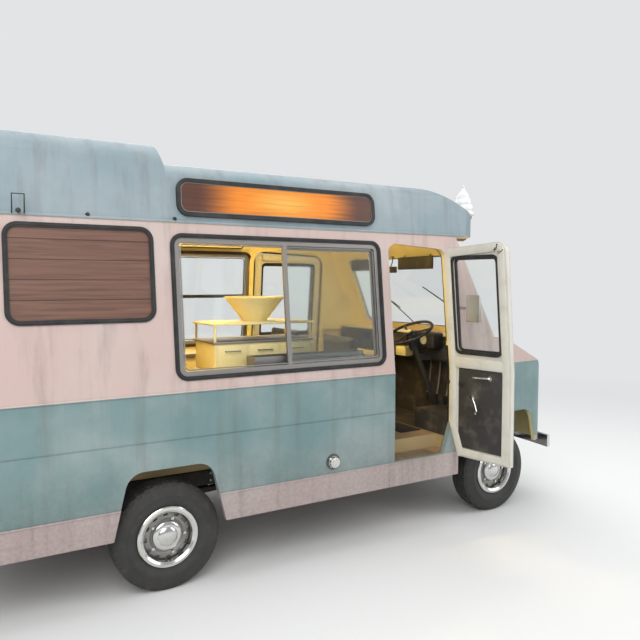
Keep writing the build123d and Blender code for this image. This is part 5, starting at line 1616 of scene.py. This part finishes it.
class VAN_OT_servery(VanOperator):
    """Ceiling lamps, far windows' inner seals, cabinet, container, edges and handles of the counters"""

    bl_idname = "van.servery"
    bl_label = "Servery"

    def execute(self, context):
        self.lamps()
        self.cabinets()
        self.handles()
        self.linings()
        return {"FINISHED"}

    def lamps(self):
        """The ceiling lamps, each a diffuser below a tray."""
        lamps = bmesh.new()
        trays = bmesh.new()
        for x, half, (low, high), (foot, top) in LAMPS:
            slab(lamps, (x - half, -0.065, low), (x + half, 0.065, high), 0.012, 3)
            slab(trays, (x - half - 0.02, -0.080, foot), (x + half + 0.02, 0.080, top), 0.004)
        piece("ceiling_diffusers", lamps, "lamp")
        piece("lamp_trays", trays, "cream")

    def cabinets(self):
        """The cabinet on the right counter with the container on its stand, and the counters' doors."""
        cream = bmesh.new()
        slab(cream, (0.36, -0.800, 1.2622), (1.06, -0.440, 1.450), 0.010, 3)
        for x in DRAWERS:
            slab(cream, (x, -0.8065, 1.280), (x + 0.210, -0.7995, 1.436), 0.004)
        slab(cream, (0.345, -0.815, 1.566), (1.08, -0.425, 1.580), 0.005)
        for x in (0.365, 1.055):
            for y in (-0.795, -0.445):
                rod(cream, (x, y, 1.448), (x, y, 1.568), 0.009, 14)
        turned(cream, CONTAINER, (0.72, -0.62, 1.580), (0, 0, 1))
        slab(cream, (-0.60, 0.790, 2.150), (1.262, 0.850, 2.200), 0.022, 4)
        for x, wide in CUPBOARDS:
            slab(cream, (x, -0.6002, 0.70), (x + wide, -0.5925, 1.215), 0.004)
            slab(cream, (x, 0.5525, 0.70), (x + wide, 0.5602, 1.195), 0.004)
        slab(cream, (-0.80, 0.75, 0.7905), (-0.10, 0.98, 1.23), 0.010)
        piece("cabinets_and_container", cream, "cream")

    def handles(self):
        """The edges of the worktops and the handles of drawers and cupboards."""
        tops = bmesh.new()
        for y, z in ((-0.590, 1.2625), (0.550, 1.2405)):
            slab(tops, (0.432, y - 0.012, z - 0.028), (1.388, y, z + 0.004), 0.003)
        slab(tops, (0.345, -0.812, 1.449), (1.075, -0.428, 1.462), 0.003)
        grips = [(x + 0.105, 0.05, -0.806, -0.016, 1.40) for x in DRAWERS]
        for x, wide in CUPBOARDS:
            grips += [(x + wide / 2, 0.04, y, out, 1.16) for y, out in ((-0.5925, 0.016), (0.5525, -0.016))]
        for mid, half, y, out, z in grips:
            ends = ((mid - half, y), (mid - half, y + out), (mid + half, y + out), (mid + half, y))
            bar(tops, [(x, along, z) for x, along in ends], 0.004)
        piece("edges_and_handles", tops, "aluminium")

    def linings(self):
        """The windows' inner seals, the ribs of the lining and the coving's bead."""
        seals = bmesh.new()
        for width, height, place in window_places(-WALL * cos(LEAN) - 0.0076):
            ring(seals, width, height, WINDOW_CORNER, SEAL_BAND, 0.0072, 0.0028, place)
        piece("inner_seals", seals, "rubber")
        ribs = bmesh.new()
        for x in (-0.95, -0.02):
            for out in (-1, 1):
                low, high = (Vector((x, out * (wall_y(z) - WALL - 0.012), z)) for z in (1.22, 2.19))
                rib = bmesh.new()
                slab(rib, (-0.022, -0.012, 0), (0.022, 0.012, (high - low).length), 0.005)
                turn = Vector((0, 0, 1)).rotation_difference(high - low).to_matrix().to_4x4()
                bmesh.ops.transform(rib, matrix=Matrix.Translation(low) @ turn, verts=rib.verts)
                join(ribs, rib)
        for y in (-0.84, 0.84):
            slab(ribs, (-1.05, y - 0.02, 2.202), (1.95, y + 0.02, 2.2205), 0.005)
        piece("lining_ribs", ribs, "cream")
        bead = bmesh.new()
        edge = [(-0.60, 0.786, 2.152), (1.24, 0.786, 2.152), (1.262, 0.786, 2.172), (1.262, 0.786, 2.200)]
        bar(bead, edge, 0.006)
        piece("coving_bead", bead, "rubber")


SCREEN_SLOPE = 0.38 / 0.70
SCREEN_FOOT = (WHEELBASE + 0.088, 1.4)
SCREEN_BOW = 0.045


def screen_point(y, z, out):
    """A point a way in front of the windscreen's outer face."""
    reach = 1 / (1 + SCREEN_SLOPE * SCREEN_SLOPE) ** 0.5
    x = SCREEN_FOOT[0] - (z - SCREEN_FOOT[1]) * SCREEN_SLOPE - SCREEN_BOW * (y / 1.015) ** 2
    return Vector((x + out * reach, y, z + out * SCREEN_SLOPE * reach))


LAMP_Y = 0.645
HEADLAMP_Z = 0.835
INDICATOR_Z = 0.690
HEADLAMP_RIM = ((-0.012, 0.103), (0.004, 0.103), (0.012, 0.098), (0.012, 0.090), (0.002, 0.0835))
HEADLAMP_RIM += ((-0.002, 0.0835),)
INDICATOR_RIM = ((-0.012, 0.038), (0.002, 0.038), (0.006, 0.034), (0.002, 0.0305), (-0.002, 0.0305))


class VAN_OT_front(VanOperator):
    """Grille surround, lamp rims and ribs, wipers, blank plate, overriders and bonnet catch"""

    bl_idname = "van.front"
    bl_label = "Front"

    GRILLE_HALF = 0.486
    WIPER_FEET = (-0.62, 0.16)

    def execute(self, context):
        self.bright()
        self.lenses()
        self.wipers()
        blank = bmesh.new()
        slab(blank, (NOSE_X + 0.070, -0.255, 0.322), (NOSE_X + 0.074, 0.255, 0.434), 0.0015)
        for y in (-0.18, 0.18):
            slab(blank, (NOSE_X + 0.058, y - 0.012, 0.40), (NOSE_X + 0.070, y + 0.012, 0.46), 0.002)
        piece("front_plate", blank, "plate")
        return {"FINISHED"}

    def bright(self):
        """The grille's surround, the lamps' rims, the overriders and the bonnet's catch."""
        surround = bmesh.new()
        ring(surround, 2 * self.GRILLE_HALF, 0.322, 0.062, 0.022, 0.016, 0.005)
        long_edges = [edge for edge in surround.edges if edge.calc_length() > 0.3]
        bmesh.ops.subdivide_edges(surround, edges=long_edges, cuts=12)
        for vert in surround.verts:
            vert.co.z -= 0.011 * (vert.co.x / self.GRILLE_HALF) ** 2
        face = Matrix(((0, 0, 1, NOSE_X - 0.004), (1, 0, 0, 0), (0, 1, 0, 0.785), (0, 0, 0, 1)))
        bmesh.ops.transform(surround, matrix=face, verts=surround.verts)
        bright = bmesh.new()
        join(bright, surround)
        for y in (-LAMP_Y, LAMP_Y):
            hoop(bright, HEADLAMP_RIM, (NOSE_X + 0.0122, y, HEADLAMP_Z), (1, 0, 0), 48)
            hoop(bright, INDICATOR_RIM, (NOSE_X + 0.0122, y, INDICATOR_Z), (1, 0, 0), 32)
        for y in (-0.42, 0.42):
            x = NOSE_X + 0.105 - 0.075 * (y / 0.96) ** 2
            slab(bright, (x - 0.010, y - 0.022, 0.415), (x + 0.030, y + 0.022, 0.565), 0.016, 4)
        slab(bright, (NOSE_X - 0.024, -0.045, 0.958), (NOSE_X + 0.006, 0.045, 0.974), 0.006, 3)
        piece("grille_surround_and_rims", bright, "chrome")

    def lenses(self):
        """The upright ribs of the headlamps' domed lenses."""
        lenses = bmesh.new()
        steps = 7
        for y in (-LAMP_Y, LAMP_Y):
            for index in range(-4, 5):
                offset = index * 0.0165
                half = (0.080**2 - offset**2) ** 0.5 * 0.92
                points = []
                for k in range(steps):
                    z = -half + 2 * half * k / (steps - 1)
                    reach = (offset**2 + z**2) ** 0.5
                    out = 0.0245 - 0.006 * min(1, reach / 0.048) - 0.018 * max(0, (reach - 0.048) / 0.032)
                    points.append((NOSE_X + out, y + offset, HEADLAMP_Z + z))
                bar(lenses, points, 0.0016, 1)
        piece("lens_ribs", lenses, "lens")

    def wipers(self):
        """Two wipers, each an arm on its spindle and a blade in its holder."""
        wipers = bmesh.new()
        for y in self.WIPER_FEET:
            tip_y = y + 0.2852
            arm = ((y, 1.430, 0.020), (y + 0.10, 1.52, 0.030), (tip_y, 1.70, 0.020))
            bar(wipers, [screen_point(*place) for place in arm], 0.0045, 3, True)
            rod(wipers, screen_point(y, 1.430, 0.001), screen_point(y, 1.430, 0.030), 0.012, 14, 0.010, 0.002)
            low = screen_point(tip_y - 0.16, 1.60, 0.013)
            high = screen_point(tip_y + 0.16, 1.80, 0.013)
            bar(wipers, [low, (low + high) / 2 + Vector((0.008, 0, 0.004)), high], 0.005, 2, True)
            bar(wipers, [low, screen_point(tip_y, 1.70, 0.012), high], 0.003, 2, True)
        piece("wipers", wipers, "black")


REAR_FACE = Matrix(((0, 0, -1, REAR_X), (1, 0, 0, 0), (0, 1, 0, 0), (0, 0, 0, 1)))
TAIL_RIM = ((0.0002, 0.056), (0.008, 0.056), (0.013, 0.051), (0.013, 0.047), (0.0002, 0.0465))


def behind(points):
    """Points given by their distance behind the rear panel, their Y and their Z."""
    return [(REAR_X - out, y, z) for out, y, z in points]


class VAN_OT_rear(VanOperator):
    """Rear door's seals, handle and lock, lamp rims, blank plate, grab handle and step pads"""

    bl_idname = "van.rear"
    bl_label = "Rear"

    HANDLE_Y = -0.290
    HINGE_ZS = (0.76, 1.34, 1.92)

    def execute(self, context):
        self.seals()
        self.door_fittings()
        self.lamps_and_plate()
        pads = bmesh.new()
        slab(pads, *behind(((0.0900, -0.34, 0.530), (0.058, 0.34, 0.537))), 0.003)
        for index in range(17):
            y = -0.32 + index * 0.04
            slab(pads, *behind(((0.088, y - 0.006, 0.536), (0.060, y + 0.006, 0.540))), 0.0015)
        piece("bumper_step_pad", pads, "rubber")
        return {"FINISHED"}

    def seals(self):
        """The seals of the rear door's window and of its doorway."""
        seals = bmesh.new()
        for out in (TRIM_GAP, -WALL - 0.0075):
            place = REAR_FACE @ Matrix.Translation((0, 1.705, out))
            ring(seals, 0.46, 0.51, 0.060, SEAL_BAND, 0.0072, 0.0028, place)
        piece("rear_window_seals", seals, "rubber", "rear_door")
        beads = bmesh.new()
        place = REAR_FACE @ Matrix.Translation((0, 1.34, -WALL - 0.0102))
        ring(beads, 0.775, 1.535, 0.075, 0.024, 0.010, 0.004, place)
        piece("rear_doorway_seal", beads, "rubber")

    def door_fittings(self):
        """The rear door's handle with its lock, and the screws of its hinges."""
        bright = bmesh.new()
        y = self.HANDLE_Y
        slab(bright, *behind(((0.004, y - 0.024, 1.10), (-0.001, y + 0.024, 1.26))), 0.002)
        bar(bright, behind(((0, y, 1.22), (0.034, y, 1.22), (0.036, y + 0.10, 1.215))), 0.008, 4, True)
        rod(bright, *behind(((0, y, 1.13), (0.012, y, 1.13))), 0.011, 16, edge=0.002)
        piece("rear_door_handle", bright, "chrome", "rear_door")
        screws = bmesh.new()
        for z in self.HINGE_ZS:
            for y in (0.292, 0.322):
                for dz in (-0.03, 0.03):
                    rod(screws, *behind(((0.0055, y, z + dz), (0.009, y, z + dz))), 0.0055, 10, 0.004)
        piece("rear_hinge_screws", screws, "steel", "rear_door")

    def lamps_and_plate(self):
        """The tail lamps' rims, the grab handle, the plate's lamp and the blank plate."""
        rims = bmesh.new()
        for y in (-0.880, 0.880):
            for z in (0.680, 0.790):
                hoop(rims, TAIL_RIM, (REAR_X, y, z), (-1, 0, 0), 36)
        grab = behind(((0, 0.47, 1.05), (0.045, 0.47, 1.07), (0.045, 0.47, 1.38), (0, 0.47, 1.40)))
        bar(rims, grab, 0.010, 4, True)
        slab(rims, *behind(((0.035, -0.69, 0.730), (-0.001, -0.51, 0.752))), 0.006)
        piece("tail_lamp_rims", rims, "chrome")
        blank = bmesh.new()
        slab(blank, *behind(((0.0103, -0.80, 0.600), (0.0005, -0.40, 0.720))), 0.0015)
        piece("rear_plate", blank, "plate")


SPRING_Y = 0.4
SPRING_HALF = 0.6
AXLE_SEATS = ((0.0, TYRE_RADIUS + 0.04), (WHEELBASE, TYRE_RADIUS + 0.03))


class VAN_OT_underside(VanOperator):
    """Lower spring leaves, U-bolts, dampers and chassis bolts"""

    bl_idname = "van.underside"
    bl_label = "Underside"

    LEAVES = (0.46, 0.34, 0.22)
    BEARERS = (-1.06, -0.48, 0.48, POST_X - 0.59)

    def execute(self, context):
        self.springs()
        self.dampers()
        heads = bmesh.new()
        for x in self.BEARERS:
            for side in (-1, 1):
                for dx in (-0.018, 0.018):
                    for z in (0.46, 0.51):
                        inner, outer = (side * (SPRING_Y + reach) for reach in (0.0305, 0.0305 * 1.25))
                        rod(heads, (x + dx, inner, z), (x + dx, outer, z), 0.008, 6)
        piece("chassis_bolts", heads, "steel")
        return {"FINISHED"}

    def springs(self):
        """The lower leaves of the springs, and the bolts and plates that hold them to the axles."""
        leaves = bmesh.new()
        bolts = bmesh.new()
        for x, seat in AXLE_SEATS:
            low = seat - 0.085
            for y in (-SPRING_Y, SPRING_Y):
                for index, half in enumerate(self.LEAVES):
                    self.leaf(leaves, x, y, half, seat, seat + 0.0305 + 0.008 * index)
                for at in (x - 0.05, x + 0.05):
                    for dy in (-0.036, 0.036):
                        rod(bolts, (at, y + dy, low), (at, y + dy, seat + 0.075), 0.006, 10)
                    saddle = ((-0.036, 0.07), (0, 0.078), (0.036, 0.07))
                    bar(bolts, [(at, y + dy, seat + rise) for dy, rise in saddle], 0.006)
                slab(bolts, (x - 0.075, y - 0.048, low), (x + 0.075, y + 0.048, low + 0.010), 0.002)
        piece("lower_leaves", leaves, "chassis")
        piece("spring_bolts", bolts, "steel")

    def leaf(self, leaves, x, y, half, seat, top):
        """One leaf, bowed like the main leaf above it."""
        rise = (0.385 - seat) * (half / SPRING_HALF) ** 2
        leaf = bmesh.new()
        slab(leaf, (x - half, y - 0.029, top), (x + half, y + 0.029, top + 0.0072), 0.0015)
        long_edges = [edge for edge in leaf.edges if edge.calc_length() > half]
        bmesh.ops.subdivide_edges(leaf, edges=long_edges, cuts=10)
        for vert in leaf.verts:
            vert.co.z += rise * ((vert.co.x - x) / half) ** 2
        join(leaves, leaf)

    def dampers(self):
        """A telescopic damper beside each wheel."""
        dampers = bmesh.new()
        for x, lean in ((0.0, 0.22), (WHEELBASE, -0.18)):
            for side in (-1, 1):
                foot = Vector((x + 0.05, side * 0.315, 0.30))
                head = Vector((x + lean, side * 0.315, 0.505))
                along = head - foot
                rod(dampers, foot, foot + along * 0.55, 0.024, 16, edge=0.003)
                rod(dampers, foot + along * 0.5, head, 0.018, 14)
                rod(dampers, head - Vector((0, 0.02, 0)), head + Vector((0, side * 0.06, 0)), 0.009, 10)
        piece("dampers", dampers, "iron")


OPERATORS = (
    VAN_OT_stage,
    VAN_OT_paint,
    VAN_OT_windows,
    VAN_OT_signs,
    VAN_OT_wheels,
    VAN_OT_doors,
    VAN_OT_trim,
    VAN_OT_cones,
    VAN_OT_cab,
    VAN_OT_seats,
    VAN_OT_servery,
    VAN_OT_front,
    VAN_OT_rear,
    VAN_OT_underside,
)


class VAN_PT_build(bpy.types.Panel):
    """Lists the van's operators, sizes and colours"""

    bl_idname = "VAN_PT_build"
    bl_label = "Ice-cream van"
    bl_space_type = "VIEW_3D"
    bl_region_type = "UI"
    bl_category = "Van"

    def draw(self, context):
        """Draws the sizes and colours, and then a button for each operator."""
        for group in (context.scene.van_sizes, context.scene.van_colours):
            column = self.layout.column()
            for name in group.__annotations__:
                column.prop(group, name)
        for operator in OPERATORS:
            self.layout.operator(operator.bl_idname)


CLASSES = (VanColours, VanSizes, *OPERATORS, VAN_PT_build)


def register():
    """Makes the classes and the scene's properties known."""
    for kind in CLASSES:
        bpy.utils.register_class(kind)
    bpy.types.Scene.van_colours = bpy.props.PointerProperty(type=VanColours)
    bpy.types.Scene.van_sizes = bpy.props.PointerProperty(type=VanSizes)


def unregister():
    """Takes the properties and the classes away again."""
    del bpy.types.Scene.van_sizes
    del bpy.types.Scene.van_colours
    for kind in reversed(CLASSES):
        bpy.utils.unregister_class(kind)


def main():
    """Runs every operator in order."""
    register()
    for operator in OPERATORS:
        group, name = operator.bl_idname.split(".")
        getattr(getattr(bpy.ops, group), name)()


if __name__ == "__main__":
    main()
